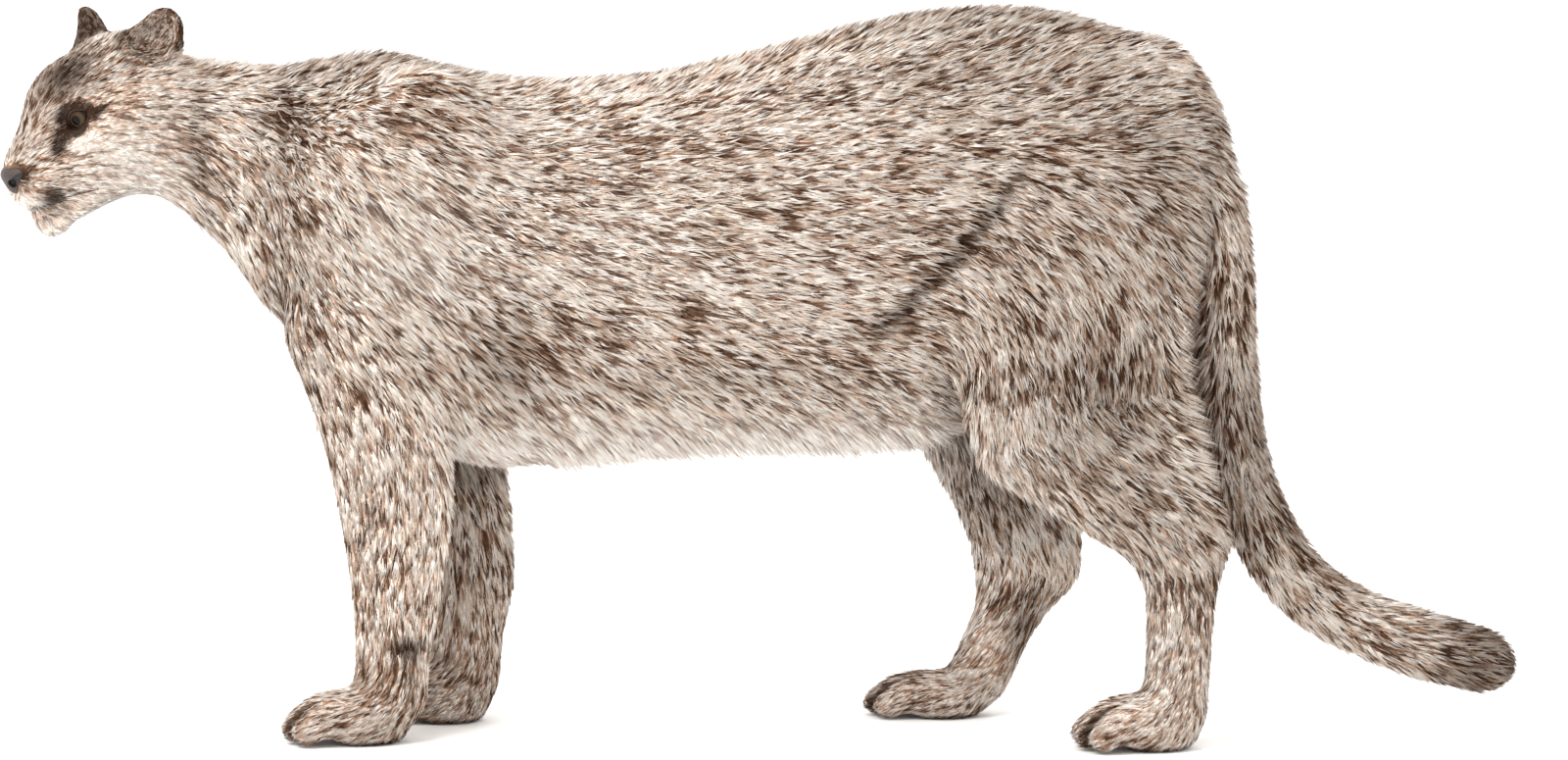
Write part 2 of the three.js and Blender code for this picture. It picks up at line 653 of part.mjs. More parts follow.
function addForeleg(name, side, shape) {
  const halves = inner(side, 0);
  add(name + '_shoulder', piece(body, [[-530, -230], side < 0 ? [-175, -30] : [30, 175], [250, 640]],
    [27, 20, 30], upperForelimb(side)), [-400, side * 90, 430]);
  add(name + '_forearm', piece(body, [[-500, -190], side < 0 ? [-160, 30] : [-30, 160], [70, 360]],
    [22, 19, 29], [ELBOWS, MIDRIFF, flip(level(104)), halves]), [shape.elbow, side * 80, 290]);
  add(name + '_paw', piece(body, [[-520, -240], side < 0 ? [-130, 20] : [-20, 130], [-24, 128]],
    [15.5, 14.5, 15.5], [level(104), GROUND, halves]), [shape.wrist, side * 60, 100]);
}

function addHindLeg(name, side, shape) {
  const halves = inner(side, 0);
  const hockCut = [[shape.hock.x, 0, shape.hock.z - 12], [-0.35, 0, 1]];
  const ankle = level(72);
  add(name + '_thigh', piece(body, [[150, 520], side < 0 ? [-175, -30] : [30, 175], [260, 620]],
    [29, 22, 29], upperHindlimb(side), [tailPlanes]), [330, side * 75, 560]);
  add(name + '_shank', piece(body, [[150, 520], side < 0 ? [-160, 30] : [-30, 160], [120, 430]],
    [25, 20, 28], [KNEES, flip(LOIN), flip(hockCut), halves], [tailPlanes]), [shape.knee.x, side * 84, 330]);
  add(name + '_metatarsus', piece(body, [[120, 500], side < 0 ? [-150, 30] : [-30, 150], [40, 240]],
    [18, 16, 25], [hockCut, flip(ankle), halves]), [shape.hock.x, side * 88, shape.hock.z]);
  add(name + '_paw', piece(body, [[60, 500], side < 0 ? [-150, 20] : [-20, 150], [-24, 98]],
    [15.5, 14.5, 15.5], [ankle, GROUND, halves]), [shape.foot.x, side * 88, 72]);
}

function addTail() {
  const joints = [
    ['tail_root', [[380, 530], [-60, 60], [440, 680]], [[468, 0, 470], [-0.02, 0, 1]]],
    ['tail_upper', [[420, 540], [-60, 60], [270, 500]], [[482, 0, 300], [-0.14, 0, 1]]],
    ['tail_middle', [[430, 640], [-60, 60], [60, 330]], [[560, 0, 146], [-0.75, 0, 0.75]]],
    ['tail_tip', [[500, 800], [-60, 60], [10, 220]], null],
  ];
  let start = null;
  for (const [name, box, end] of joints) {
    const planes = start ? [start] : tailPlanes;
    const field = start ? tail : animal;
    add(name, piece(field, box, [22, 19, start ? 30 : 22], end ? [...planes, flip(end)] : planes),
      start ? start[0] : TAIL_ROOT[0], name === 'tail_tip' ? darkFur() : fur());
    start = end;
  }
}

// The head: its pieces are made in the head's own frame
const atHead = vector();
const inHeadFrame = (p) => body(atHead.copy(p).applyMatrix4(headFrame));
const eyeDirection = (side) => vector(eyeOutward.x, side * eyeOutward.y, eyeOutward.z);

function eyeball(side, grow) {
  const ball = new THREE.SphereGeometry(EYE_RADIUS + grow, 14, 9);
  ball.rotateX(Math.PI / 2);
  ball.translate(EYE_AT.x, side * EYE_AT.y, EYE_AT.z);
  return solidOfGeometry(ball);
}

// The almond opening between the lids, as a prism from the eyeball outwards, its inner corner lower
function eyeOpening(side) {
  const { half, above, below, slant } = EYE_OPENING;
  const noseward = -side * half;
  const outline = new THREE.Shape();
  outline.moveTo(-noseward, 0);
  outline.bezierCurveTo(-noseward * 0.4, above * 1.35, noseward * 0.45, above * 1.3, noseward, -below * 0.35);
  outline.bezierCurveTo(noseward * 0.4, -below * 1.3, -noseward * 0.45, -below * 1.3, -noseward, 0);
  const prism = new THREE.ExtrudeGeometry(outline, { depth: 30, bevelEnabled: false, curveSegments: 5 });
  const outward = eyeDirection(side);
  const up = vector(0, 0, 1).addScaledVector(outward, -outward.z).normalize();
  prism.rotateZ(side * degrees(slant));
  prism.translate(0, 0, EYE_RADIUS * 0.5);
  prism.applyMatrix4(new THREE.Matrix4().makeBasis(up.clone().cross(outward), up, outward));
  prism.translate(EYE_AT.x, side * EYE_AT.y, EYE_AT.z);
  return solidOfGeometry(prism);
}

// Everything below the mouth's line and ahead of its corners, with some slack
function jawRegion(slack) {
  const outline = new THREE.Shape();
  outline.moveTo(130, -65 + slack);
  outline.lineTo(82, -66 + slack);
  outline.bezierCurveTo(68, -60 + slack, 54, -60 + slack, 40, -65 + slack);
  outline.lineTo(24 - slack, -70 + slack);
  outline.lineTo(6 - slack, -140);
  outline.lineTo(130, -140);
  outline.closePath();
  const block = new THREE.ExtrudeGeometry(outline, { depth: 180, bevelEnabled: false, curveSegments: 4 });
  block.rotateX(Math.PI / 2);
  block.translate(0, 90, 0);
  return solidOfGeometry(block);
}

// A closed skin over a row of rings of points, each ring a lens or crescent, closed at both ends
function skinOver(rings) {
  const count = rings[0].length;
  const positions = rings.flat().flatMap((point) => point.toArray());
  const triangles = [];
  rings.slice(1).forEach((_, r) => {
    for (let i = 0; i < count; i += 1) {
      const next = (i + 1) % count;
      const [a, b, c, d] = [r * count + i, r * count + next, (r + 1) * count + next, (r + 1) * count + i];
      triangles.push(a, b, c, a, c, d);
    }
  });
  const last = (rings.length - 1) * count;
  for (let i = 0, j = count - 1; i < j - 1; i += 1, j -= 1) {
    triangles.push(j, i + 1, i);
    triangles.push(last + i, last + i + 1, last + j);
    if (i + 1 < j - 1) {
      triangles.push(j, j - 1, i + 1);
      triangles.push(last + i + 1, last + j - 1, last + j);
    }
  }
  const solid = solidOf(positions, triangles);
  return solid.volume() > 0 ? solid : solidOf(positions, triangles.slice().reverse());
}

// The room of an ear, in which it is parted from the head: a block around it, above its seat
function earRoom(ear, slack) {
  const { deep, wide, high } = EAR_ROOM;
  const block = new THREE.BoxGeometry(deep + 2 * slack, wide + 2 * slack, high + slack);
  block.translate(0, 0, EAR_SEAT + high / 2 - slack / 2);
  block.applyMatrix4(earFrame(ear));
  return solidOfGeometry(block);
}

// The bare nose pad: broad above, narrow below, with a nostril that opens to each side
const padForm = union([
  ellipsoid([NOSE.at[0], 0, NOSE.at[2] + 4], [NOSE.deep, NOSE.halfWidth, NOSE.halfHeight], 18),
  ellipsoid([NOSE.at[0] + 2, 0, NOSE.at[2] - 7], [NOSE.deep - 2, 9, 9]),
], 8);
const nostrilForm = tube([
  [NOSE.at[0] + NOSE.deep + 1, 6.5, NOSE.at[2] - 1, 3.4, 3.8],
  [NOSE.at[0] + NOSE.deep - 2, 11, NOSE.at[2], 2.8, 3.2],
  [NOSE.at[0] + NOSE.deep - 7, 18, NOSE.at[2] + 3, 1.8, 2.2],
], vector(1, 0, 0));

function nosePad(grow) {
  const mirrored = vector();
  const pad = (p) => {
    mirrored.set(p.x, Math.abs(p.y), p.z);
    return grow > 0 ? padForm(mirrored) - grow : carve(padForm(mirrored), nostrilForm(mirrored), 1);
  };
  const [x, , z] = NOSE.at;
  return surface(pad, [lines(x - 20, x + 20, 4.6), lines(-27, 27, 4.6), lines(z - 24, z + 22, 4.6)]);
}

function addHead() {
  const skin = new THREE.Group();
  skin.applyMatrix4(headFrame);
  cougar.add(skin);
  const grid = [lines(-190, 112, 11.8), lines(-102, 102, 11.8), lines(-126, 92, 11.8)];
  const nape = [vector(...NAPE[0]).applyMatrix4(toHead).toArray(),
    vector(...NAPE[1]).negate().transformDirection(toHead).toArray()];
  const beforeNape = region([nape], -GAP / 2);
  const whole = surface(inHeadFrame, grid).intersect(beforeNape).subtract(nosePad(2 * GAP));
  let flesh = whole.subtract(jawRegion(MOUTH_LINE));
  for (const side of [-1, 1]) {
    const which = side < 0 ? 'right' : 'left';
    flesh = flesh.subtract(eyeball(side, GAP)).subtract(eyeOpening(side));
    add('eye_' + which, eyeball(side, 0), [EYE_AT.x, side * EYE_AT.y, EYE_AT.z], wetEye(), skin);
    const ear = EARS[which];
    flesh = flesh.subtract(earRoom(ear, GAP));
    const box = [lines(-150, -30, 6), side < 0 ? lines(-108, 0, 6) : lines(0, 114, 6), lines(-12, 108, 6)];
    add('ear_' + which, largest(surface(inHeadFrame, box).intersect(earRoom(ear, 0)).intersect(beforeNape)),
      ear.at, darkFur(), skin);
  }
  add('nose', largest(nosePad(0)), NOSE.at, bareSkin(), skin);
  add('jaw', largest(whole.intersect(jawRegion(0))), [24, 0, -74], paleFur(), skin);
  add('head', largest(flesh), [0, 0, 0], fur(), skin);
}

addTrunk();
addForeleg('foreleg_left', -1, FORE_LEFT);
addForeleg('foreleg_right', 1, FORE_RIGHT);
addHindLeg('hindleg_left', -1, HIND_LEFT);
addHindLeg('hindleg_right', 1, HIND_RIGHT);
addTail();
addHead();

// The animal's own origin: under the middle of its length and width, on the ground
const bounds = new THREE.Box3().setFromObject(cougar, true);
cougar.position.set(-(bounds.min.x + bounds.max.x) / 2, -(bounds.min.y + bounds.max.y) / 2, 0);
const model = new THREE.Group();
model.add(cougar);

export default model;
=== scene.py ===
"""A life-size standing cougar: one skin, its coat in tufts, eyes, lids, nose and whiskers.

Shapes are worked out in millimetres in the maker's own axes: the head points to -X, the tail to +X,
the animal's left side faces -Y and the ground is z = 0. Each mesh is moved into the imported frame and
turned into metres when its object is made.
"""
from __future__ import annotations

import logging
import math
from dataclasses import dataclass, field
from enum import Enum
from typing import Callable, ClassVar, Sequence

import bpy
import numpy as np
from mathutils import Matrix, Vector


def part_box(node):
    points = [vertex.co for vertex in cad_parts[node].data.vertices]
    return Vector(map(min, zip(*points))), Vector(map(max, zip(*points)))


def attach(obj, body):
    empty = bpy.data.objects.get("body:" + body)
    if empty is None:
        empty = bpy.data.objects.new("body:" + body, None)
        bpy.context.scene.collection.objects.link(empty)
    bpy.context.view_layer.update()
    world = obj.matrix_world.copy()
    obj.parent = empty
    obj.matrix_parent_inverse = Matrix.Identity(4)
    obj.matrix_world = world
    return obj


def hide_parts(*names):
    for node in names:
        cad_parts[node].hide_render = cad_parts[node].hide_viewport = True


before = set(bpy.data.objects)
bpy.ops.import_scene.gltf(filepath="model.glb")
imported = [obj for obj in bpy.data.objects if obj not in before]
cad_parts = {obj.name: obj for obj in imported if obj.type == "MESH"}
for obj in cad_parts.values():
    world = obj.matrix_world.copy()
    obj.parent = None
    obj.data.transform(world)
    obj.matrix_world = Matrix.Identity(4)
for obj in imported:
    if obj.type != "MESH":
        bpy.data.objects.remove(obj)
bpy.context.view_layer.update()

LOG = logging.getLogger("cougar")
MILLIMETRE = 0.001
SEED = 4081
# Stands for a distance that is far off, in millimetres
FAR = 99.0

# A grid block's edge in grid boxes, how near to the surface a block's middle counts as close, in
# block diagonals, and the rim of a grid box that its point stays out of
GRID_BLOCK = 4
NEAR_SHARE = 0.85
BOX_RIM = 0.04

Array = np.ndarray
Form = Callable[[Array], Array]
Colour = tuple[float, float, float, float]
Node = bpy.types.Node
Socket = bpy.types.NodeSocket


# Forms: each gives the distance of points from a surface, negative inside


def blend(a: Array, b: Array, softness: float | Array) -> Array:
    """Rounded minimum: the smaller value, less the square of how near the two are.

    Args:
        a: Values of the first form.
        b: Values of the second form.
        softness: Width over which the two run into each other.

    Returns:
        The values of the joined form.
    """
    near = np.maximum(softness - np.abs(a - b), 0.0)
    return np.minimum(a, b) - near * near / (4.0 * softness)


def carve(a: Array, b: Array, softness: float) -> Array:
    """Takes form b out of form a, with a rounded rim."""
    return -blend(-a, b, softness)


def keep(a: Array, b: Array, softness: float) -> Array:
    """Rounded maximum: what lies in both forms."""
    return -blend(-a, -b, softness)


def ramp(value: Array, start: float, end: float) -> Array:
    """A smooth step from 0 at start to 1 at end: 3t^2 - 2t^3."""
    t = np.clip((value - start) / (end - start), 0.0, 1.0)
    return t * t * (3.0 - 2.0 * t)


def unit(vectors: Array) -> Array:
    """Each row divided by its length."""
    return vectors / np.maximum(np.linalg.norm(vectors, axis=-1, keepdims=True), 1e-9)


def mix(a: float | Array, b: float | Array, share: Array) -> Array:
    """From a at share 0 to b at share 1: a + (b - a) share."""
    return a + (b - a) * share


def one_sided(p: Array) -> Array:
    """The same points with y made positive, for what is alike on both sides."""
    return p * [1, 0, 1] + np.abs(p) * [0, 1, 0]


def within(q: Array, room: float) -> Array:
    """True for the points inside a cube that reaches as far as the room on each side of zero."""
    return np.abs(q).max(1) < room


def smooth_path(stations: Sequence[Sequence[float]], per_span: int = 4) -> Array:
    """Points on the Catmull-Rom curve through the stations, evenly spaced in its parameter.

    Args:
        stations: Rows of any width; each column is carried along in the same way.
        per_span: Steps between two stations.

    Returns:
        The rows of the curve.
    """
    knots = np.asarray(stations, float)
    knots = np.vstack([2 * knots[0] - knots[1], knots, 2 * knots[-1] - knots[-2]])
    place = np.linspace(0, len(knots) - 3, (len(knots) - 3) * per_span + 1)
    span = np.minimum(place.astype(int), len(knots) - 4)
    w = (place - span)[:, None]
    p0, p1, p2, p3 = (knots[span + k] for k in range(4))
    leave, arrive = 0.5 * (p2 - p0), 0.5 * (p3 - p1)
    return ((2 * p1 - 2 * p2 + leave + arrive) * w ** 3
            + (-3 * p1 + 3 * p2 - 2 * leave - arrive) * w ** 2 + leave * w + p1)


@dataclass
class Ellipsoid:
    """An ellipsoid whose axes are tipped about Y and then turned about Z, in degrees."""

    at: Sequence[float]
    radii: Sequence[float]
    tip: float = 0.0
    turn: float = 0.0

    def __call__(self, p: Array) -> Array:
        """Scaled length from the centre, less one, divided by its slope.

        Args:
            p: Points, one a row.

        Returns:
            The form's value at each point.
        """
        b, c = np.radians([self.tip, self.turn])
        about_y = np.array([[np.cos(b), 0, np.sin(b)], [0, 1, 0], [-np.sin(b), 0, np.cos(b)]])
        about_z = np.array([[np.cos(c), -np.sin(c), 0], [np.sin(c), np.cos(c), 0], [0, 0, 1]])
        radii = np.asarray(self.radii, float)
        q = (p - np.asarray(self.at, float)) @ (about_z @ about_y) / radii
        reach = np.sqrt((q * q).sum(1))
        slope = np.sqrt(((q / radii) ** 2).sum(1))
        return np.where(slope < 1e-9, -radii.min(), reach * (reach - 1) / np.maximum(slope, 1e-9))


@dataclass
class Tube:
    """A round-ended tube along a smooth path: stations of x, y, z, half width and half depth."""

    stations: Sequence[Sequence[float]]
    lateral: Sequence[float] = (0.0, 1.0, 0.0)
    line: Array = field(init=False)

    def __post_init__(self) -> None:
        """Works out the smooth path once."""
        self.line = smooth_path(self.stations)

    def __call__(self, p: Array) -> Array:
        """Length off the nearest link of the path, times one less one over its scaled length.

        Args:
            p: Points, one a row.

        Returns:
            The form's value at each point.
        """
        best = np.full(len(p), np.inf)
        result = np.empty(len(p))
        lateral = np.asarray(self.lateral, float)
        for start, end in zip(self.line[:-1], self.line[1:]):
            run = end[:3] - start[:3]
            along = unit(run)
            side = unit(lateral - along * (lateral @ along))
            depth_way = np.cross(along, side)
            off = p - start[:3]
            t = np.clip(off @ run / (run @ run), 0, 1)
            off = off - t[:, None] * run
            apart = (off * off).sum(1)
            take = np.flatnonzero(apart < best)
            off, t = off[take], t[take]
            across, deep = mix(start[3], end[3], t), mix(start[4], end[4], t)
            cap = np.minimum(across, deep)
            reach = np.sqrt((off @ side / across) ** 2 + (off @ depth_way / deep) ** 2
                            + (off @ along / cap) ** 2)
            length = np.sqrt(apart[take])
            result[take] = np.where(reach < 1e-6, -cap, length * (1 - 1 / np.maximum(reach, 1e-6)))
            best[take] = apart[take]
        return result


@dataclass
class Loft:
    """A rounded body along X, from stations of x, top, bottom and half width."""

    stations: Sequence[Sequence[float]]
    cap: float

    def __call__(self, p: Array) -> Array:
        """The ellipse of each station, carried smoothly along X and rounded at both ends.

        Args:
            p: Points, one a row.

        Returns:
            The form's value at each point.
        """
        line = smooth_path([[x, (t + b) / 2, (t - b) / 2, w] for x, t, b, w in self.stations])
        x = np.clip(p[:, 0], line[0, 0], line[-1, 0])
        height, deep, across = (np.interp(x, line[:, 0], line[:, k]) for k in (1, 2, 3))
        sizes = np.stack([np.full(len(p), self.cap), across, deep], 1)
        q = np.stack([p[:, 0] - x, p[:, 1], p[:, 2] - height], 1) / sizes
        reach = np.sqrt((q * q).sum(1))
        slope = np.sqrt(((q / sizes) ** 2).sum(1))
        return np.where(slope < 1e-9, -across, reach * (reach - 1) / np.maximum(slope, 1e-9))


@dataclass
class Union:
    """Forms joined softly into one."""

    forms: Sequence[Form]
    softness: float

    def __call__(self, p: Array) -> Array:
        """Rounded minimum over all the forms in turn.

        Args:
            p: Points, one a row.

        Returns:
            The form's value at each point.
        """
        value = self.forms[0](p)
        for form in self.forms[1:]:
            value = blend(value, form(p), self.softness)
        return value


@dataclass
class Near:
    """A form that is worked out only near a box; further off it is the distance to the box."""

    form: Form
    low: Sequence[float]
    high: Sequence[float]
    margin: float = 70.0

    def __call__(self, p: Array) -> Array:
        """The form's own value inside the margin, the distance to the box beyond it.

        Args:
            p: Points, one a row.

        Returns:
            The form's value at each point.
        """
        low, high = np.asarray(self.low, float), np.asarray(self.high, float)
        value = np.linalg.norm(np.maximum(np.maximum(low - p, p - high), 0.0), axis=1) + 1.0
        close = np.flatnonzero(value < self.margin)
        if len(close):
            value[close] = self.form(p[close])
        return value


def values_of(form: Form, p: Array, chunk: int = 150000) -> Array:
    """The form's values at many points, in chunks that fit the memory."""
    parts = [form(p[i:i + chunk]) for i in range(0, len(p), chunk)]
    return np.concatenate(parts) if parts else np.zeros(0)


def slopes_of(form: Form, p: Array, step: float = 0.5) -> tuple[Array, Array]:
    """Values and slopes of a form at points, from one short step along each axis.

    Args:
        form: The form.
        p: Points, one a row.
        step: Length of the short step.

    Returns:
        The values, and the slopes as rows of three.
    """
    value = values_of(form, p)
    slope = np.stack([(values_of(form, p + step * axis) - value) / step for axis in np.eye(3)], 1)
    return value, slope


def settle(form: Form, p: Array, rounds: int = 2) -> Array:
    """Moves points onto the surface of a form along its slope: p - value * slope / slope^2.

    Args:
        form: The form.
        p: Points, one a row.
        rounds: How many steps each point takes.

    Returns:
        The moved points.
    """
    for _ in range(rounds):
        value, slope = slopes_of(form, p)
        p = p - (value / np.maximum((slope * slope).sum(1), 0.05))[:, None] * slope
    return p


def closed_surface(form: Form, low: Sequence[float], high: Sequence[float],
                   step: float) -> tuple[Array, Array]:
    """The closed surface where a form changes sign, on a grid of boxes.

    Each grid box that the surface crosses gets one point, the mean of where its edges are cut, moved
    onto the surface; each cut edge gets one four-cornered face between its four boxes. A coarse
    pass first finds the blocks of the grid that lie near the surface.

    Args:
        form: The form to be meshed.
        low: Lowest corner of the room.
        high: Highest corner of the room.
        step: Grid spacing.

    Returns:
        Points, one a row, and faces as rows of four point numbers.
    """
    low, high = np.asarray(low, float), np.asarray(high, float)
    count = np.round((high - low) / step).astype(int) + 1
    cell = (high - low) / (count - 1)
    block = GRID_BLOCK
    blocks = (count - 1) // block + 1
    corner = np.stack(np.meshgrid(*[np.arange(n) for n in blocks], indexing="ij"), -1).reshape(-1, 3)
    middle = low + np.minimum(corner * block + block / 2, count - 1) * cell
    coarse = values_of(form, middle).reshape(blocks)

    def spread(grid: Array) -> Array:
        """Repeats the value of each block over its grid points."""
        for axis in range(3):
            grid = np.repeat(grid, block, axis)
        return grid[:count[0], :count[1], :count[2]]

    value = spread(np.where(coarse < 0, -1e3, 1e3)).copy()
    close = spread(np.abs(coarse) < block * np.linalg.norm(cell) * NEAR_SHARE)
    value[close] = values_of(form, low + np.argwhere(close) * cell)
    for axis in range(3):
        rim = [slice(None)] * 3
        rim[axis] = [0, -1]
        value[tuple(rim)] = 1.0
    return net_of(form, value, low, cell)


def net_of(form: Form, value: Array, low: Array, cell: Array) -> tuple[Array, Array]:
    """Builds the points and faces of closed_surface from the grid's values.

    Args:
        form: The form, on whose surface the points are settled.
        value: Values at the grid points.
        low: Place of the first grid point.
        cell: Size of one grid box.

    Returns:
        Points, one a row, and faces as rows of four point numbers.
    """
    inside = value < 0
    boxes = np.array(value.shape) - 1
    total = int(boxes.prod())
    sums, hits = np.zeros((total, 3)), np.zeros(total)
    cuts = []
    for axis in range(3):
        here, there = [slice(None)] * 3, [slice(None)] * 3
        here[axis], there[axis] = slice(0, -1), slice(1, None)
        cut = inside[tuple(here)] != inside[tuple(there)]
        edge = np.argwhere(cut)
        first, second = value[tuple(here)][cut], value[tuple(there)][cut]
        place = edge.astype(float)
        place[:, axis] += first / (first - second)
        u, w = (axis + 1) % 3, (axis + 2) % 3
        ring = []
        for du, dw in ((1, 1), (0, 1), (0, 0), (1, 0)):
            box = edge.copy()
            box[:, u] -= du
            box[:, w] -= dw
            number = (box[:, 0] * boxes[1] + box[:, 1]) * boxes[2] + box[:, 2]
            ring.append(number)
            hits += np.bincount(number, minlength=total)
            for k in range(3):
                sums[:, k] += np.bincount(number, place[:, k], total)
        cuts.append((np.stack(ring, 1), inside[tuple(here)][cut]))
    used = np.flatnonzero(hits)
    renumber = np.full(total, -1)
    renumber[used] = np.arange(len(used))
    faces = [np.where(leaves[:, None], renumber[ring], renumber[ring][:, ::-1]) for ring, leaves in cuts]
    points = low + sums[used] / hits[used][:, None] * cell
    base = low + np.stack(np.unravel_index(used, tuple(boxes)), 1) * cell
    lowest, highest = base + BOX_RIM * cell, base + (1 - BOX_RIM) * cell
    for _ in range(3):
        points = np.clip(settle(form, points, 1), lowest, highest)
    return points, np.vstack(faces)


# The animal's body as forms, from the same named sizes as the solids


class Side(Enum):
    """The two sides of the body, with the sign of their Y."""

    LEFT = -1
    RIGHT = 1


@dataclass
class Ear:
    """An ear: a bowl in its own axes (facing, across, up) at its root on the head."""

    at: Sequence[float]
    rise: Sequence[float]
    opening: Sequence[float]

    def axes(self) -> Array:
        """The ear's own axes.

        Returns:
            Rows: the way the ear faces, across it, and up along it.
        """
        up = unit(np.asarray(self.rise, float))
        facing = np.asarray(self.opening, float)
        facing = unit(facing - up * (facing @ up))
        return np.stack([facing, np.cross(up, facing), up])

    def local(self, q: Array) -> Array:
        """Points of the head's frame in the ear's own axes."""
        return (q - np.asarray(self.at, float)) @ self.axes().T

    def outside(self, q: Array) -> Array:
        """The ear's outer form at points of the head's frame."""
        bowl = Union([Ellipsoid([-2, 0, 7], [16, 24, 31]), Ellipsoid([0, 0, -10], [20, 33, 24])], 12)
        return bowl(self.local(q))

    def inside(self, q: Array) -> Array:
        """The hollow of the ear at points of the head's frame."""
        hollow = Union([Ellipsoid([10, 0, 8], [18.5, 18.5, 28]),
                        Ellipsoid([12, 0, -6], [17, 23, 17])], 10)
        return hollow(self.local(q))


@dataclass
class Head:
    """The head in its own frame: x forward to the nose, y to the animal's left, z up.

    Each room is half the edge of a cube round the head's middle, outside which the face, the ears,
    the lips, the eyes' openings or the lids aren't worked out.
    """

    at: Sequence[float] = (-690.0, -62.0, 631.0)
    turned: float = 33.0
    bowed: float = 28.0
    eye_at: Sequence[float] = (-8.0, 30.0, 0.0)
    eye_radius: float = 17.0
    eye_outward: float = 32.0
    eye_upward: float = 5.0
    lid_radius: float = 20.0
    opening_half: float = 15.0
    opening_above: float = 10.5
    opening_below: float = 9.0
    opening_slant: float = 14.0
    ear_left: Ear = field(
        default_factory=lambda: Ear([-99, 54, 31], [-0.64, 0.42, 0.62], [0.92, 0.4, 0.1]))
    ear_right: Ear = field(
        default_factory=lambda: Ear([-75, -46, 44], [-0.34, -0.34, 0.86], [0.8, -0.52, 0.1]))
    face_room: float = 200.0
    ear_room: float = 190.0
    lip_room: float = 130.0
    eye_room: float = 90.0
    lid_room: float = 70.0

    def axes(self) -> Array:
        """The head's own axes.

        Returns:
            Rows: forward, left and up of the head.
        """
        turn, bow = np.radians([self.turned, self.bowed])
        forward = np.array([-np.cos(bow) * np.cos(turn), -np.cos(bow) * np.sin(turn), -np.sin(bow)])
        left = np.array([np.sin(turn), -np.cos(turn), 0.0])
        return np.stack([forward, left, np.cross(forward, left)])

    def local(self, p: Array) -> Array:
        """Points of the body's frame in the head's frame."""
        return (p - np.asarray(self.at)) @ self.axes().T

    def world(self, q: Array) -> Array:
        """Points of the head's frame in the body's frame."""
        return q @ self.axes() + np.asarray(self.at)

    def eye_centre(self, side: Side) -> Array:
        """Centre of one eyeball in the head's frame."""
        return np.asarray(self.eye_at) * [1, -side.value, 1]

    def eye_axes(self, side: Side) -> Array:
        """The axes of an eye and its lids, in the head's frame.

        Args:
            side: Which eye.

        Returns:
            Rows: outward along the eye's axis, across towards the nose, and up.
        """
        out, up = np.radians([self.eye_outward, self.eye_upward])
        axis = np.array([np.cos(out) * np.cos(up), -side.value * np.sin(out) * np.cos(up), np.sin(up)])
        high = unit(np.array([0.0, 0.0, 1.0]) - axis * axis[2])
        nosewards = np.cross(axis, high) * -side.value
        slant = np.radians(self.opening_slant)
        return np.stack([axis, nosewards * np.cos(slant) - high * np.sin(slant),
                         high * np.cos(slant) + nosewards * np.sin(slant)])

    def lid_line(self, across: Array, upper: bool) -> Array:
        """Height of a lid's edge over the eye's axis, from -1 at the outer to 1 at the inner corner.

        Args:
            across: Place between the corners.
            upper: Whether it is the upper lid.

        Returns:
            Heights in millimetres: a full arch above, a flatter one below, both meeting at the corners.
        """
        corner = -3.0 * np.maximum(across, 0.0) ** 2
        arch = np.maximum(1.0 - across * across, 0.0)
        if upper:
            return corner + self.opening_above * arch ** 0.75
        return corner - self.opening_below * arch ** 0.9

    def opening(self, q: Array) -> Array:
        """The almond between the lids as a form, for the eye on the head's left (y above zero).

        Args:
            q: Points of the head's frame, one a row.

        Returns:
            The form's value at each point.
        """
        axes = self.eye_axes(Side.LEFT)
        off = (q - self.eye_centre(Side.LEFT)) @ axes.T
        across = np.clip(off[:, 1] / self.opening_half, -1.0, 1.0)
        middle = (self.lid_line(across, True) + self.lid_line(across, False)) / 2
        half = (self.lid_line(across, True) - self.lid_line(across, False)) / 2
        beyond = np.abs(off[:, 1]) - self.opening_half
        return np.maximum(np.maximum(np.abs(off[:, 2] - middle) - half, beyond), 8.0 - off[:, 0])

    def skull(self, q: Array) -> Array:
        """Skull, brow and cheeks, for points with y made positive."""
        return Union([
            Ellipsoid([-66, 0, 0], [62, 58, 58]),
            Ellipsoid([-14, 0, 12], [52, 44, 43], 14),
            Ellipsoid([-6, 25, 17], [20, 17, 10], 12, 26),
            Ellipsoid([-26, 42, -24], [44, 25, 22], 4, -20),
            Ellipsoid([-48, 40, -46], [46, 30, 36]),
            Ellipsoid([-84, 38, -22], [36, 34, 43]),
            Ellipsoid([-22, 24, -62], [50, 25, 25], 4, -8),
        ], 16)(q)

    def muzzle(self, q: Array) -> Array:
        """Bridge of the nose, whisker pads and upper lip."""
        return Union([
            Tube([[-14, 0, 0, 28, 36], [20, 0, -4, 26, 29], [50, 0, -11, 23, 22.5], [70, 0, -17, 20, 15]]),
            Ellipsoid([14, 21, -14], [26, 14, 17], 0, -14),
            Ellipsoid([34, 0, -38], [42, 36, 29]),
            Ellipsoid([58, 18, -42], [27, 25, 23], 0, -8),
            Ellipsoid([24, 26, -48], [38, 24, 24], 0, -14),
            Ellipsoid([67, 0, -48], [19, 13, 15]),
        ], 14)(q)

    def jaw(self, q: Array) -> Array:
        """Lower jaw, chin and lower lip."""
        return Union([
            Tube([[-40, 0, -64, 48, 27], [0, 0, -70, 42, 25], [34, 0, -74, 34, 20], [54, 0, -76, 27, 17]]),
            Ellipsoid([63, 0, -82], [18, 24, 16]),
            Ellipsoid([65, 0, -69], [16, 24, 8]),
        ], 9)(q)

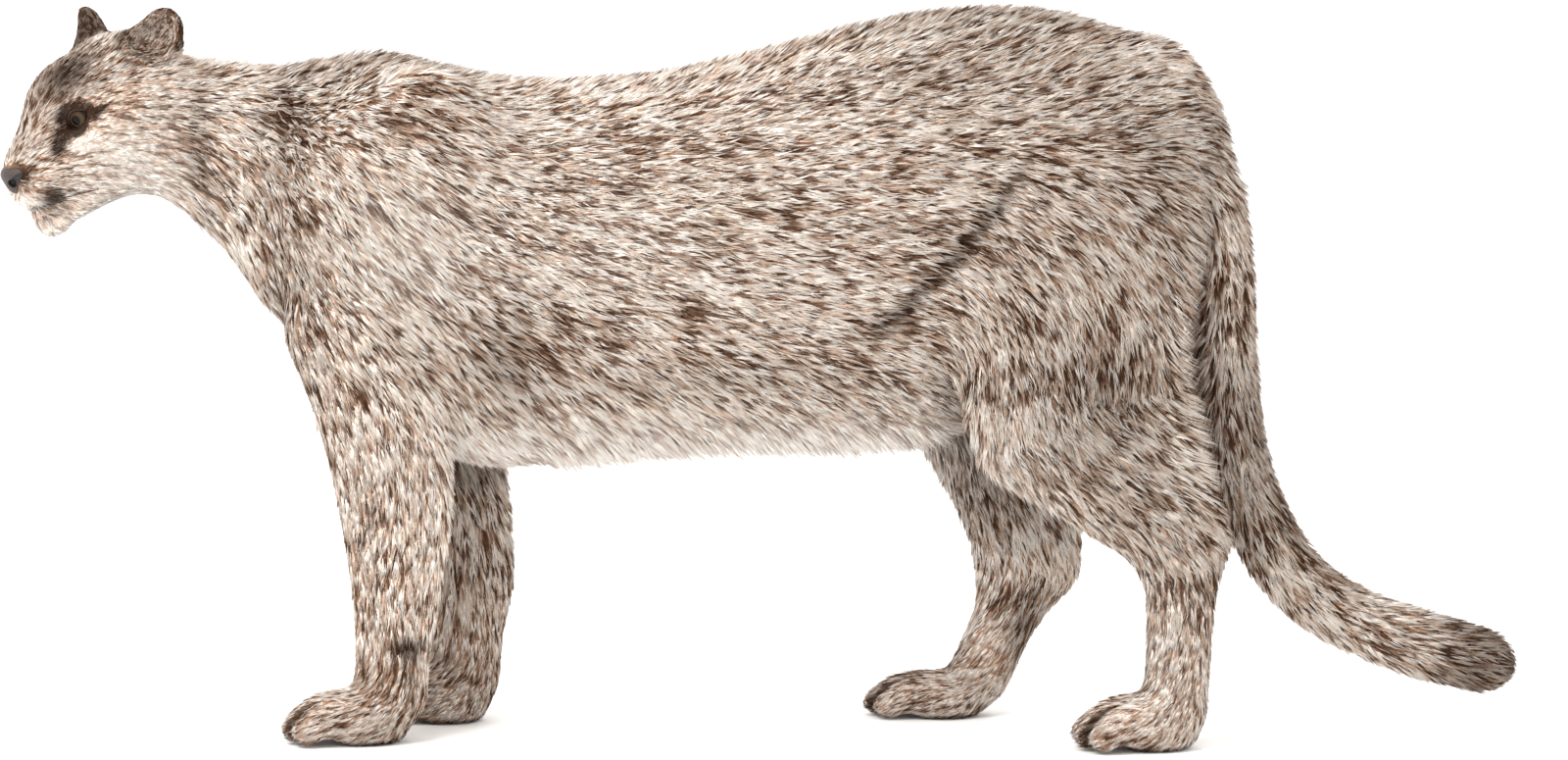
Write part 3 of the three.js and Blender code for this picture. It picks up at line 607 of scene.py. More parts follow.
    def ears(self, q: Array, outside: bool) -> Array:
        """The form of the ear on each point's side.

        Args:
            q: Points of the head's frame, one a row.
            outside: Whether the outer form is asked for, or else the hollow.

        Returns:
            The form's value at each point.
        """
        left = q[:, 1] > 0
        value = np.empty(len(q))
        for ear, mine in ((self.ear_left, left), (self.ear_right, ~left)):
            value[mine] = ear.outside(q[mine]) if outside else ear.inside(q[mine])
        return value

    def ear_top(self, q: Array) -> Array:
        """Zero in the lower half of each ear and one at its tip."""
        left = self.ear_left.local(q)[:, 2]
        right = self.ear_right.local(q)[:, 2]
        return ramp(np.where(q[:, 1] > 0, left, right), -4.0, 18.0)

    def mass(self, q: Array) -> Array:
        """The head without its ears: skull, muzzle and jaw, the sockets and the lids' swell.

        Args:
            q: Points of the head's frame, one a row.

        Returns:
            The form's value at each point.
        """
        one = one_sided(q)
        value = blend(blend(self.skull(one), self.muzzle(one), 24), self.jaw(one), 10)
        eye = self.eye_centre(Side.LEFT)
        out = self.eye_axes(Side.LEFT)[0]
        hollow = Ellipsoid(eye + out * (self.eye_radius + 13) + [0, -3, -1], [11, 15, 11], 0, 30)
        swell = Ellipsoid(eye, [self.lid_radius] * 3)
        return blend(carve(value, hollow(one), 12), swell(one), 6)

    def __call__(self, p: Array) -> Array:
        """The whole head at points of the body's frame."""
        q = self.local(p)
        value = blend(self.mass(q), self.ears(q, True), 14)
        return carve(value, self.ears(q, False), 4)


@dataclass
class Limb:
    """A part of the body with the path that its coat follows: its form and the path's points."""

    name: str
    form: Form
    path: Array

    def place(self, p: Array) -> tuple[Array, Array, Array]:
        """Where points lie along the limb.

        Args:
            p: Points, one a row.

        Returns:
            The share of the path's length, the direction of the path there and the way off the path.
        """
        best = np.full(len(p), np.inf)
        share, tangent, off_path = np.zeros(len(p)), np.zeros((len(p), 3)), np.zeros((len(p), 3))
        runs = np.diff(self.path, axis=0)
        lengths = np.linalg.norm(runs, axis=1)
        starts = np.concatenate([[0.0], np.cumsum(lengths)])
        for k, run in enumerate(runs):
            off = p - self.path[k]
            t = np.clip(off @ run / lengths[k] ** 2, 0, 1)
            off = off - t[:, None] * run
            apart = (off * off).sum(1)
            take = apart < best
            best[take] = apart[take]
            share[take] = (starts[k] + t[take] * lengths[k]) / starts[-1]
            tangent[take] = run / lengths[k]
            off_path[take] = off[take]
        return share, tangent, off_path


@dataclass
class Body:
    """The whole body: neck, torso, four legs and tail, with the head set on the neck.

    Each coat field is the depth of the coat there; sole_height is the skin's height off the ground.
    """

    head: Head
    withers: float = 706.0
    dip: float = 667.0
    rump: float = 749.0
    belly: float = 284.0
    chest_half: float = 118.0
    barrel_half: float = 134.0
    hip_half: float = 112.0
    tail_radius: float = 38.0
    soft_body: float = 60.0
    soft_limb: float = 30.0
    toe_spacing: float = 17.5
    coat_trunk: float = 13.0
    coat_tail: float = 9.0
    coat_face: float = 2.8
    coat_feet: float = 2.5
    coat_ears: float = 1.0
    sole_height: float = 0.3
    limbs: list[Limb] = field(init=False)
    paws: list[tuple[Array, float]] = field(init=False, default_factory=list)

    def __post_init__(self) -> None:
        """Builds the forms of the body once."""
        self.head_near = Near(self.head, [-810, -190, 480], [-540, 60, 800])
        self.neck = Near(Tube([[-625, -36, 630, 68, 64], [-560, -14, 614, 80, 82],
                               [-500, 0, 588, 92, 104], [-445, 0, 560, 104, 128]]),
                         [-700, -130, 430], [-340, 110, 700])
        self.torso = self.make_torso()
        self.muscles = Union([Ellipsoid([-374, 0, 425], [50, 88, 100], -22),
                              Ellipsoid([374, 0, 600], [68, 80, 90], 20)], self.soft_body)
        self.tail = Near(Tube(self.tail_stations()), [340, -50, 30], [790, 50, 700])
        self.legs = self.make_legs()
        self.limbs = self.make_limbs()

    def make_torso(self) -> Loft:
        """The barrel of the body from the shoulders to the rump."""
        w, d, r, b = self.withers, self.dip, self.rump, self.belly
        return Loft([
            [-430, w - 22, 352, self.chest_half - 30], [-385, w - 8, 326, self.chest_half - 12],
            [-300, w - 22, 274, self.chest_half + 4], [-225, d + 8, b - 12, self.barrel_half - 6],
            [-100, d + 15, b, self.barrel_half], [0, d + 37, b + 4, self.barrel_half],
            [100, r - 19, b + 6, self.barrel_half - 6], [200, r - 3, b + 18, self.hip_half + 8],
            [280, r - 4, 350, self.hip_half], [335, r - 16, 420, self.hip_half - 12],
            [387, r - 38, 480, self.hip_half - 32]], 60)

    def tail_stations(self) -> list[list[float]]:
        """Stations of the tail from its root in the rump to its tip.

        Returns:
            Rows of x, y, z, half width and half depth.
        """
        r = self.tail_radius
        path = [(440, 600), (466, 500), (472, 400), (482, 300), (510, 216), (556, 150), (622, 110)]
        deep = [42] + [r] * 6
        return ([[396, 0, 656, 40, 48]] + [[x, 0, z, r, d] for (x, z), d in zip(path, deep)]
                + [[690, 0, 87, r + 1, r + 1], [742, 0, 73, r - 1, r - 1]])

    def foreleg(self, side: Side, elbow: float, wrist: float) -> Form:
        """A foreleg from the shoulder blade to the wrist.

        Args:
            side: Which foreleg.
            elbow: X of the elbow.
            wrist: X of the wrist.

        Returns:
            The leg's form without its paw.
        """
        s = side.value
        return Union([
            Ellipsoid([-372, s * 84, 545], [72, 40, 150], 24),
            Tube([[-414, s * 90, 420, 48, 57], [elbow - 13, s * 88, 340, 46, 65],
                  [elbow, s * 78, 262, 42, 62], [wrist + 8, s * 68, 160, 33, 47],
                  [wrist + 3, s * 62, 95, 30, 39], [wrist, s * 60, 48, 31, 38]])], 45)

    def hind_leg(self, side: Side, knee: Sequence[float], hock: Sequence[float],
                 foot: Sequence[float]) -> Form:
        """A hind leg from the hip through its knee and hock to the foot.

        Args:
            side: Which hind leg.
            knee: X and z of the knee.
            hock: X and z of the hock, and the leg's half depth there.
            foot: X and z of the ankle.

        Returns:
            The leg's form without its paw.
        """
        s = side.value
        (kx, kz), (hx, hz, hock_deep), (fx, fz) = knee, hock, foot
        thigh = Tube([[330, s * 72, 575, 52, 120], [330 + (kx - 330) * 0.55, s * 80, 460, 50, 118],
                      [kx, s * 84, kz, 43, 78]])
        shank = Tube([[kx, s * 84, kz, 43, 78], [(kx + hx) / 2, s * 86, (kz + hz) / 2, 36, 60],
                      [hx, s * 88, hz, 29, hock_deep]])
        metatarsus = Tube([[hx, s * 88, hz, 29, hock_deep], [(hx + fx) / 2, s * 88, (hz + fz) / 2, 27, 35],
                           [fx, s * 88, fz, 30, 33]])
        hamstring = Tube([[384, s * 66, 560, 44, 56], [368, s * 78, 430, 42, 56],
                          [(368 + hx) / 2, s * 85, (430 + hz) / 2, 33, 44],
                          [hx + 22, s * 88, hz + 10, 22, 22]])
        return Union([thigh, hamstring, shank, metatarsus], self.soft_limb)

    def paw(self, at: Sequence[float], heading: float, long: float, high: float = 1.0) -> Form:
        """A paw with four toes, shaped in its own frame.

        Args:
            at: Middle of the ball of the foot, on the ground.
            heading: How far the paw is turned from straight ahead, in degrees.
            long: From there to the tips of the middle toes.
            high: Scale of its height.

        Returns:
            The paw's form.
        """
        self.paws.append((np.asarray(at, float), heading))
        toes = []
        for place in (-1.5, -0.5, 0.5, 1.5):
            spread, tip = place * self.toe_spacing, long - 6 * place * place
            toes.append(Tube([[6, spread * 0.7, 28, 15, 25], [tip * 0.62, spread, 29, 14.5, 21],
                              [tip, spread * 1.06, 16, 12.5, 15.5]]))
        palm = Union([Ellipsoid([0, 0, 24], [44, 38, 26]), Ellipsoid([-8, 0, 10], [34, 30, 16])], 12)
        fingers = Union(toes, 5)
        turn = math.pi + math.radians(heading)
        axes = np.array([[np.cos(turn), np.sin(turn), 0], [-np.sin(turn), np.cos(turn), 0], [0, 0, 1]])

        def form(p: Array) -> Array:
            """The paw's form at points of the body's frame."""
            q = (p - np.asarray(at, float)) @ axes.T / [1.0, 1.0, high]
            return blend(palm(q), fingers(q), 14)
        return form

    def make_legs(self) -> list[Form]:
        """The four legs with their paws.

        Returns:
            Their forms: fore left, fore right, hind left, hind right.
        """
        fore = [(Side.LEFT, -365, -374, (-402, -60, 0), 4, 70),
                (Side.RIGHT, -323, -310, (-330, 56, 0), -4, 64)]
        hind = [(Side.LEFT, (272, 330), (424, 205, 43), (418, 44), (394, -92, 0), 5, 69, 1.0),
                (Side.RIGHT, (229, 318), (282, 162, 51), (229, 42), (188, 84, 0), -5, 68, 0.86)]
        legs = []
        for side, elbow, wrist, at, heading, long in fore:
            legs.append((self.foreleg(side, elbow, wrist), self.paw(at, heading, long), side, -500, -200))
        for side, knee, hock, foot, at, heading, long, high in hind:
            leg = self.hind_leg(side, knee, hock, foot)
            legs.append((leg, self.paw(at, heading, long, high), side, 100, 500))
        built = []
        for leg, paw, side, low_x, high_x in legs:
            low_y, high_y = (-150, 0) if side is Side.LEFT else (0, 150)
            foot = Near(paw, [low_x, low_y, 0], [high_x, high_y, 60], 50)
            whole = Union([leg, foot], 22)
            built.append(Near(whole, [low_x, low_y, 0], [high_x, high_y, 700]))
        return built

    def make_limbs(self) -> list[Limb]:
        """The parts of the body with the paths that the coat follows.

        Returns:
            The limbs, in the order in which their coat is made.
        """
        trunk = smooth_path([[-640, -40, 636], [-560, -14, 614], [-445, 0, 545], [-300, 0, 490],
                             [-100, 0, 478], [100, 0, 510], [280, 0, 560], [400, 0, 640]])
        fore = [[(-400, 580), (-385, 420), (-365, 300), (-366, 160), (-374, 60), (-460, 16)],
                [(-400, 580), (-370, 420), (-322, 300), (-300, 160), (-306, 60), (-384, 16)]]
        hind = [[(330, 640), (320, 480), (285, 330), (424, 190), (410, 60), (336, 14)],
                [(330, 640), (300, 480), (240, 320), (286, 160), (226, 60), (128, 14)]]
        names = ["foreleg_left", "foreleg_right", "hindleg_left", "hindleg_right"]
        limbs = [Limb("trunk", Union([self.neck, self.torso, self.muscles], self.soft_body), trunk)]
        for name, form, line in zip(names, self.legs, fore + hind):
            y = (-1 if "left" in name else 1) * (66 if "fore" in name else 86)
            limbs.append(Limb(name, form, smooth_path([[x, y, z] for x, z in line])))
        tail = smooth_path([row[:3] for row in self.tail_stations()])
        limbs.append(Limb("tail", self.tail, tail))
        back = self.head.world(np.array([[100.0, 0, -30], [40, 0, -20], [-60, 0, 0], [-150, 0, 10]]))
        limbs.append(Limb("head", self.head_near, back))
        return limbs

    def trunk(self, p: Array) -> Array:
        """Everything but the tail.

        Args:
            p: Points, one a row.

        Returns:
            The form's value at each point.
        """
        value = blend(self.neck(p), self.torso(p), self.soft_body)
        value = blend(value, self.muscles(p), self.soft_body)
        value = blend(value, self.head_near(p), 34)
        shoulder = self.soft_limb + 45.0 * ramp(p[:, 2], 420, 600) * ramp(-p[:, 0], 150, 250)
        for leg in self.legs:
            value = blend(value, leg(p), shoulder)
        return value

    def __call__(self, p: Array) -> Array:
        """The whole animal; the tail joins the rump only near its root and hangs free below."""
        body, tail = self.trunk(p), self.tail(p)
        hold = np.maximum(ramp(p[:, 2], 540, 620) * 40, 1e-3)
        return blend(body, tail, hold)

    def coat_depth(self, p: Array) -> Array:
        """How far the skin lies under the coat's outline, in millimetres.

        Args:
            p: Points, one a row.

        Returns:
            The depths: most on the trunk, less down the legs, on the tail and on the face, and least
            on the ears.
        """
        q = self.head.local(p)
        legs = mix(self.coat_feet, self.coat_trunk, ramp(p[:, 2], 50, 360))
        legs = mix(legs, self.coat_tail, ramp(p[:, 0], 440, 475) * (p[:, 2] < 560))
        face = mix(self.coat_face, self.coat_trunk, ramp(-q[:, 0], 30, 150))
        ear = 1.0 - ramp(self.ears_near(q), 3.0, 16.0)
        return mix(np.minimum(legs, face), self.coat_ears, ear)

    def ears_near(self, q: Array) -> Array:
        """Distance to the nearer ear's outer form, or far off away from the head.

        Args:
            q: Points of the head's frame, one a row.

        Returns:
            Distances in millimetres, as far as they are small.
        """
        value = np.full(len(q), FAR)
        close = np.flatnonzero(within(q, self.head.ear_room))
        if len(close):
            part = q[close]
            value[close] = self.head.ears(part, True)
            value[close] += 40.0 * ramp(-part[:, 2], -24, 0)
        return value

    def skin(self, p: Array) -> Array:
        """The skin's form: the animal, inside by the coat's depth, with the eyes' openings.

        Args:
            p: Points, one a row.

        Returns:
            The form's value at each point.
        """
        value = keep(self(p) + self.coat_depth(p), self.sole_height - p[:, 2], 3.0)
        q = self.head.local(p)
        close = np.flatnonzero(within(q, self.head.eye_room) & (q[:, 0] > -40))
        if len(close):
            value[close] = carve(value[close], self.head.opening(one_sided(q[close])), 1.5)
        return value


# Markings and lie of the coat


@dataclass(frozen=True)
class Mark:
    """A soft-edged patch: its middle, its reach along the three axes and how strong it is."""

    at: Sequence[float]
    reach: Sequence[float]
    strength: float

    def at_points(self, p: Array) -> Array:
        """Strength times the bell curve of the scaled distance."""
        q = (p - np.asarray(self.at, float)) / np.asarray(self.reach, float)
        return self.strength * np.exp(-(q * q).sum(1))


@dataclass
class Markings:
    """Dark and pale places of the coat, shared by skin and tufts; some dark places are painted shade.

    Marks of the head are placed in its own frame and all others in the body's. The marks of the far legs
    and of the near wrist lie on one side only, and all others are alike on both sides; those of the far
    legs are painted shade on their inner sides.
    """

    body: Body
    dark_head: Sequence[Mark] = (
        Mark([62, 34, -56], [11, 16, 15], 1.3), Mark([30, 0, 20], [54, 26, 28], 0.35),
        Mark([58, 0, -2], [24, 20, 12], 0.4), Mark([-8, 26, 42], [36, 30, 24], 0.9),
        # Mark([70, 22, -26]) is painted shade behind the wings of the nose
        Mark([-34, 26, 60], [34, 28, 16], 0.5), Mark([70, 22, -26], [10, 10, 12], 0.9),
        Mark([76, 6, -63], [12, 24, 3], 0.6), Mark([-60, 50, 24], [26, 14, 8], 0.3),
        Mark([84, 12, -22], [12, 16, 13], 0.6))
    pale_head: Sequence[Mark] = (
        Mark([80, 12, -50], [14, 18, 13], 0.8), Mark([58, 0, -88], [28, 28, 14], 0.5),
        Mark([-10, 0, -92], [90, 60, 26], 0.9), Mark([-30, 60, -46], [52, 26, 30], 0.7),
        Mark([8, 24, 17], [13, 9, 6], 0.8), Mark([4, 40, -20], [18, 14, 8], 0.7))
    dark_both: Sequence[Mark] = (
        # The two marks on the next line are painted shade down the front of the shoulder, where it meets the
        # neck
        Mark([-462, 60, 560], [26, 90, 150], 0.3), Mark([-450, 70, 400], [40, 90, 90], 0.4),
        # Mark([-250, 110, 400]) is painted shade in the crease behind the elbow
        Mark([-400, 0, 680], [80, 90, 55], 0.4), Mark([-250, 110, 400], [36, 60, 60], 0.35),
        Mark([-400, 110, 250], [40, 60, 120], 0.2),
        Mark([215, 0, 690], [140, 140, 70], 0.2), Mark([385, 100, 255], [50, 60, 45], 0.2),
        Mark([480, 0, 310], [50, 60, 75], 0.45), Mark([515, 0, 210], [50, 60, 55], 0.45),
        Mark([590, 0, 145], [50, 60, 40], 0.25),
        Mark([-40, 110, 372], [240, 60, 18], 0.15), Mark([345, 110, 350], [75, 60, 62], 0.3),
        Mark([440, 30, 440], [30, 60, 150], 0.3), Mark([400, 60, 560], [40, 90, 90], 0.3),
        Mark([-554, 80, 590], [13, 70, 60], 0.4),
        Mark([424, 88, 205], [40, 50, 36], 0.3), Mark([742, 0, 73], [62, 60, 60], 0.85),
        Mark([100, 0, 745], [420, 36, 40], 0.3), Mark([-400, 60, 20], [70, 50, 50], 0.4),
        Mark([360, 90, 20], [80, 60, 60], 0.2), Mark([170, 90, 25], [80, 60, 60], 0.45),
        Mark([330, 90, 480], [130, 90, 230], 0.2), Mark([420, 88, 110], [50, 60, 90], 0.15))
    # Painted shade on the inner sides of the far legs, on the right side only
    far_leg_shade: Sequence[Mark] = (
        Mark([-309, 60, 262], [45, 50, 28], 0.55), Mark([225, 84, 302], [50, 60, 26], 0.45),
        Mark([245, 84, 250], [70, 60, 70], 0.55), Mark([278, 84, 95], [30, 50, 50], 0.55),
        Mark([-290, 60, 170], [60, 50, 120], 0.35), Mark([-296, 60, 30], [60, 40, 40], 0.4))
    dark_near: Sequence[Mark] = (
        Mark([-355, -92, 98], [18, 22, 10], 1.3), Mark([-350, -92, 66], [10, 20, 26], 0.5))
    pale_both: Sequence[Mark] = (
        Mark([-20, 60, 290], [260, 90, 32], 0.65), Mark([-345, 110, 500], [55, 60, 70], 0.4),
        Mark([-150, 120, 500], [90, 60, 50], 0.2), Mark([395, 110, 100], [24, 60, 70], 0.2),
        Mark([200, 110, 110], [20, 60, 60], 0.3))
    # Strength and half width of the painted shade in the fold before each thigh
    fold_shade_strength: float = 0.75
    flank_half: float = 12.0
    # Strength and half width of the painted shade in the grooves between the toes
    toe_shade_strength: float = 0.8
    toe_half: float = 3.2

    def painted(self, p: Array, head: Sequence[Mark], both: Sequence[Mark]) -> Array:
        """Sum of marks that are alike on both sides, on the head and on the body.

        Args:
            p: Points, one a row.
            head: Marks in the head's frame.
            both: Marks in the body's frame.

        Returns:
            The sum at each point.
        """
        q, p = one_sided(self.body.head.local(p)), one_sided(p)
        return sum(mark.at_points(q) for mark in head) + sum(mark.at_points(p) for mark in both)

    def eye_marks(self) -> list[Mark]:
        """The tear line before each eye, the line behind it and the shade over and under its lids.

        Returns:
            The marks, in the head's frame.
        """
        places = [((10, 25, -3), 6.5, 1.3), ((18, 29, -5), 7.0, 1.4), ((25, 30, -9), 7.0, 1.4),
                  ((31, 30, -14), 6.5, 1.2), ((36, 29, -19), 6.0, 0.8), ((-5, 53, 2), 5.5, 1.2),
                  ((-10, 55, 2), 5.0, 1.2), ((-16, 57, 2), 4.5, 1.0), ((-21, 58, 2), 4.0, 0.7),
                  ((14, 30, 9), 6.5, 1.1), ((9, 37, 14), 6.0, 1.1), ((2, 44, 15), 5.5, 1.1),
                  ((-4, 48, 11), 5.0, 1.1), ((12, 36, -8), 5.0, 1.0), ((6, 46, -8), 4.5, 0.8)]
        return [Mark(at, [reach] * 3, strength) for at, reach, strength in places]

    def dark(self, p: Array, normal: Array) -> Array:
        """How dark the coat is at points, from 0 to 1: the sum of all dark marks, markings and painted shade,
        cut off at 1.

        Args:
            p: Points, one a row.
            normal: The skin's normals there.

        Returns:
            A number for each point.
        """
        value = self.painted(p, [*self.dark_head, *self.eye_marks()], self.dark_both)
        value = value + sum(mark.at_points(p) for mark in (*self.far_leg_shade, *self.dark_near))
        value = value + 0.25 * ramp(p[:, 0], 420, 470) * ramp(normal[:, 0], 0.2, 0.9)
        q = self.body.head.local(p)
        value = value + self.ear_backs_and_cup_shade(q) + 0.6 * ramp(-p[:, 2], -7, -2) + self.lids(q)
        return np.clip(value + self.toe_gap_shade(p) + self.flank_fold_shade(p), 0.0, 1.0)

    def flank_fold_shade(self, p: Array) -> Array:
        """Painted shade in the fold before each thigh: a dark line that rises towards the tail, faint at its
        ends.
        """
        height = np.interp(p[:, 0], [116, 140, 188, 232, 270], [424, 439, 488, 536, 595])
        ends = ramp(p[:, 0], 96, 126) * (1 - ramp(p[:, 0], 240, 285)) * (np.abs(p[:, 1]) > 40)
        return self.fold_shade_strength * np.exp(-((p[:, 2] - height) / self.flank_half) ** 2) * ends

    def toe_gap_shade(self, p: Array) -> Array:
        """Painted shade in the grooves between the toes of each paw, three to a paw.

        Args:
            p: Points, one a row.

        Returns:
            From 0 to toe_shade_strength for each point.
        """
        value = np.zeros(len(p))
        low = np.flatnonzero(p[:, 2] < 60)
        between = (-self.body.toe_spacing, 0.0, self.body.toe_spacing)
        for at, heading in self.body.paws:
            turn = math.pi + math.radians(heading)
            off = p[low] - at
            ahead = off[:, 0] * math.cos(turn) + off[:, 1] * math.sin(turn)
            beside = off[:, 1] * math.cos(turn) - off[:, 0] * math.sin(turn)
            gap = np.min([np.abs(beside - shift) for shift in between], axis=0)
            on_toes = ramp(ahead, 24, 46) * (np.abs(beside) < 40)
            value[low] += self.toe_shade_strength * np.exp(-(gap / self.toe_half) ** 2) * on_toes
        return value

    def lids(self, q: Array) -> Array:
        """One on the bare rims of the lids, for points of the head's frame, zero away from them.

        Args:
            q: Points of the head's frame, one a row.

        Returns:
            A number for each point.
        """
        value = np.zeros(len(q))
        close = np.flatnonzero(within(q, self.body.head.lid_room) & (q[:, 0] > -40))
        if len(close):
            value[close] = 1.0 - ramp(self.body.head.opening(one_sided(q[close])), 4.5, 8.0)
        return value

    def pale(self, p: Array, normal: Array) -> Array:
        """How pale the coat is at points, from 0 to 1."""
        under = 0.3 * ramp(-normal[:, 2], 0.3, 0.9) * ramp(p[:, 2], 200, 260)
        return np.clip(self.painted(p, self.pale_head, self.pale_both) + under, 0.0, 1.0)

    def ear_backs_and_cup_shade(self, q: Array) -> Array:
        """Dark on the backs of the ears, their own marking, and half dark in their cups, painted shade; zero
        away from them.

        Args:
            q: Points of the head's frame, one a row.

        Returns:
            From 0 to 0.9 for each point.
        """
        near = 1.0 - ramp(self.body.ears_near(q), 2.0, 12.0)
        cup = np.full(len(q), FAR)
        close = np.flatnonzero(near > 0)
        if len(close):
            cup[close] = self.body.head.ears(q[close], False)
        # Half dark over the whole ear is painted shade of its cup; the 0.4 more outside the cup is the backs'
        # dark marking
        return near * (0.5 + 0.4 * ramp(cup, 1.5, 5.0))

    def lie(self, p: Array, normal: Array) -> tuple[Array, Array]:
        """The way the coat lies, from the paths of the limbs, mixed where limbs meet.

        Args:
            p: Points, one a row.
            normal: The skin's normals there.

        Returns:
            Unit directions along the skin, and the number of the limb that each point belongs to.
        """
        fields = np.stack([values_of(limb.form, p) for limb in self.body.limbs], 1)
        weight = np.exp(-(fields - fields.min(1, keepdims=True)) / 24.0)
        way = np.zeros((len(p), 3))
        for k, limb in enumerate(self.body.limbs):
            mine = np.flatnonzero(weight[:, k] > 0.02)
            _, tangent, _ = limb.place(p[mine])
            if limb.name == "trunk":
                low = 1.0 - ramp(p[mine, 2], 290, 430)
                tangent = tangent - np.stack([0 * low, 0 * low, 0.28 + 0.6 * low], 1)
            elif limb.name == "head":
                tangent = self.head_lie(p[mine])
            elif limb.name != "tail":
                lean, top = ramp(p[mine, 2], 250, 520)[:, None], ramp(p[mine, 2], 500, 640)[:, None]
                tangent = tangent * (1 - 0.6 * lean) + lean * [0.55, 0.0, -0.45]
                tangent = tangent * (1 - top) + top * [1.0, 0.0, -0.35]
            way[mine] += weight[mine, k][:, None] * tangent
        way = unit(way) - normal * (unit(way) * normal).sum(1, keepdims=True)
        return unit(way), fields.argmin(1)

    def head_lie(self, p: Array) -> Array:
        """On the head the coat runs back from the nose and outward, and along the ears.

        Args:
            p: Points, one a row.

        Returns:
            Directions in the body's frame, of any length.
        """
        q = self.body.head.local(p)
        way = unit(q - [98.0, 0.0, -18.0])
        way = way + [-0.25, 0.0, 0.0] + ramp(-q[:, 2], 20, 80)[:, None] * [-0.1, 0.0, -0.35]
        near = (1.0 - ramp(self.body.ears_near(q), 2.0, 10.0))[:, None]
        left = (q[:, 1] > 0)[:, None]
        rise = np.where(left, self.body.head.ear_left.axes()[2], self.body.head.ear_right.axes()[2])
        way = way * (1 - near) + near * rise
        return way @ self.body.head.axes()


# Meshes


@dataclass
class Draft:
    """A mesh in the making: points in millimetres, faces, and what is painted on the points."""

    points: Array
    faces: Sequence[Array]
    paint: dict[str, Array] = field(default_factory=dict)
    map: Array | None = None

    def place(self, name: str, finish: "Finish", shift: Array) -> bpy.types.Object:
        """Makes the object at the origin, with its place in its mesh, and puts it in the scene.

        Args:
            name: The piece's name.
            finish: The finish that dresses it.
            shift: From the maker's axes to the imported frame, in millimetres.

        Returns:
            The new object, riding on the frame's one body.
        """
        mesh = bpy.data.meshes.new(name)
        corners = np.concatenate([face.ravel() for face in self.faces]).astype(np.int32)
        sizes = np.concatenate([np.full(len(face), face.shape[1]) for face in self.faces])
        mesh.vertices.add(len(self.points))
        mesh.vertices.foreach_set("co", ((self.points + shift) * MILLIMETRE).astype(np.float32).ravel())
        mesh.loops.add(len(corners))
        mesh.loops.foreach_set("vertex_index", corners)
        mesh.polygons.add(len(sizes))
        mesh.polygons.foreach_set("loop_start", np.concatenate([[0], np.cumsum(sizes)[:-1]]).astype(np.int32))
        mesh.update(calc_edges=True)
        mesh.shade_smooth()
        for label, values in self.paint.items():
            kind = "FLOAT" if values.ndim == 1 else "FLOAT_VECTOR"
            layer = mesh.attributes.new(label, kind, "POINT")
            layer.data.foreach_set("value" if values.ndim == 1 else "vector",
                                   values.astype(np.float32).ravel())
        if self.map is not None:
            layer = mesh.uv_layers.new(name="OFBake")
            layer.uv.foreach_set("vector", self.map[corners].astype(np.float32).ravel())
        piece = bpy.data.objects.new(name, mesh)
        bpy.context.scene.collection.objects.link(piece)
        mesh.materials.append(finish.material())
        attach(piece, "root")
        LOG.info("%s: %d points, %d faces", name, len(self.points), len(sizes))
        return piece


def joined(drafts: Sequence[Draft]) -> Draft:
    """Several drafts of the same make as one mesh.

    Args:
        drafts: Drafts with the same kinds of paint.

    Returns:
        The one draft.
    """
    starts = np.concatenate([[0], np.cumsum([len(d.points) for d in drafts])])
    faces = [face + start for d, start in zip(drafts, starts) for face in d.faces]
    paint = {label: np.concatenate([d.paint[label] for d in drafts]) for label in drafts[0].paint}
    return Draft(np.vstack([d.points for d in drafts]), faces, paint)


def sleeve(rings: Array, closed: bool) -> Draft:
    """A skin over rings of points, row by row, closed round each ring.

    Args:
        rings: Rows of rings: rings, points in a ring, and three coordinates.
        closed: Whether the last ring joins the first; if not, each end is closed by a fan of faces
            to the mean of its ring.

    Returns:
        The draft, with its faces outwards where the rings run against the clock along their path.
    """
    count, around, _ = rings.shape
    number = np.arange(count * around).reshape(count, around)
    after = np.roll(number, -1, 1)
    rows = np.arange(count if closed else count - 1)
    following = (rows + 1) % count
    quads = np.stack([number[rows], after[rows], after[following], number[following]], -1).reshape(-1, 4)
    points = rings.reshape(-1, 3)
    if closed:
        return Draft(points, [quads])
    first, last = count * around, count * around + 1
    start_fan = np.stack([after[0], number[0], np.full(around, first)], 1)
    end_fan = np.stack([number[-1], after[-1], np.full(around, last)], 1)
    points = np.vstack([points, rings[0].mean(0), rings[-1].mean(0)])
    return Draft(points, [quads, np.vstack([start_fan, end_fan])])


def tube_rings(path: Array, across: Array, wide: Array, deep: Array, around: int) -> Array:
    """Rings of an oval tube: path + wide cos(a) side + deep sin(a) height.

    Args:
        path: Points along the tube.
        across: A direction across the tube at each point.
        wide: Half width along that direction at each point.
        deep: Half depth at each point.
        around: Points in a ring.

    Returns:
        The rings, ready for sleeve.
    """
    along = unit(np.gradient(path, axis=0))
    side = unit(across - along * (across * along).sum(1, keepdims=True))
    height = np.cross(along, side)
    angle = np.linspace(0, 2 * np.pi, around, endpoint=False)
    return (path[:, None] + (wide[:, None] * np.cos(angle))[..., None] * side[:, None]
            + (deep[:, None] * np.sin(angle))[..., None] * height[:, None])


# Finishes


def linear(red: float, green: float, blue: float) -> Colour:
    """A colour given as 0 to 255 on screen, in the linear values that the shader takes."""
    value = np.array([red, green, blue]) / 255.0
    value = np.where(value <= 0.04045, value / 12.92, ((value + 0.055) / 1.055) ** 2.4)
    return (float(value[0]), float(value[1]), float(value[2]), 1.0)


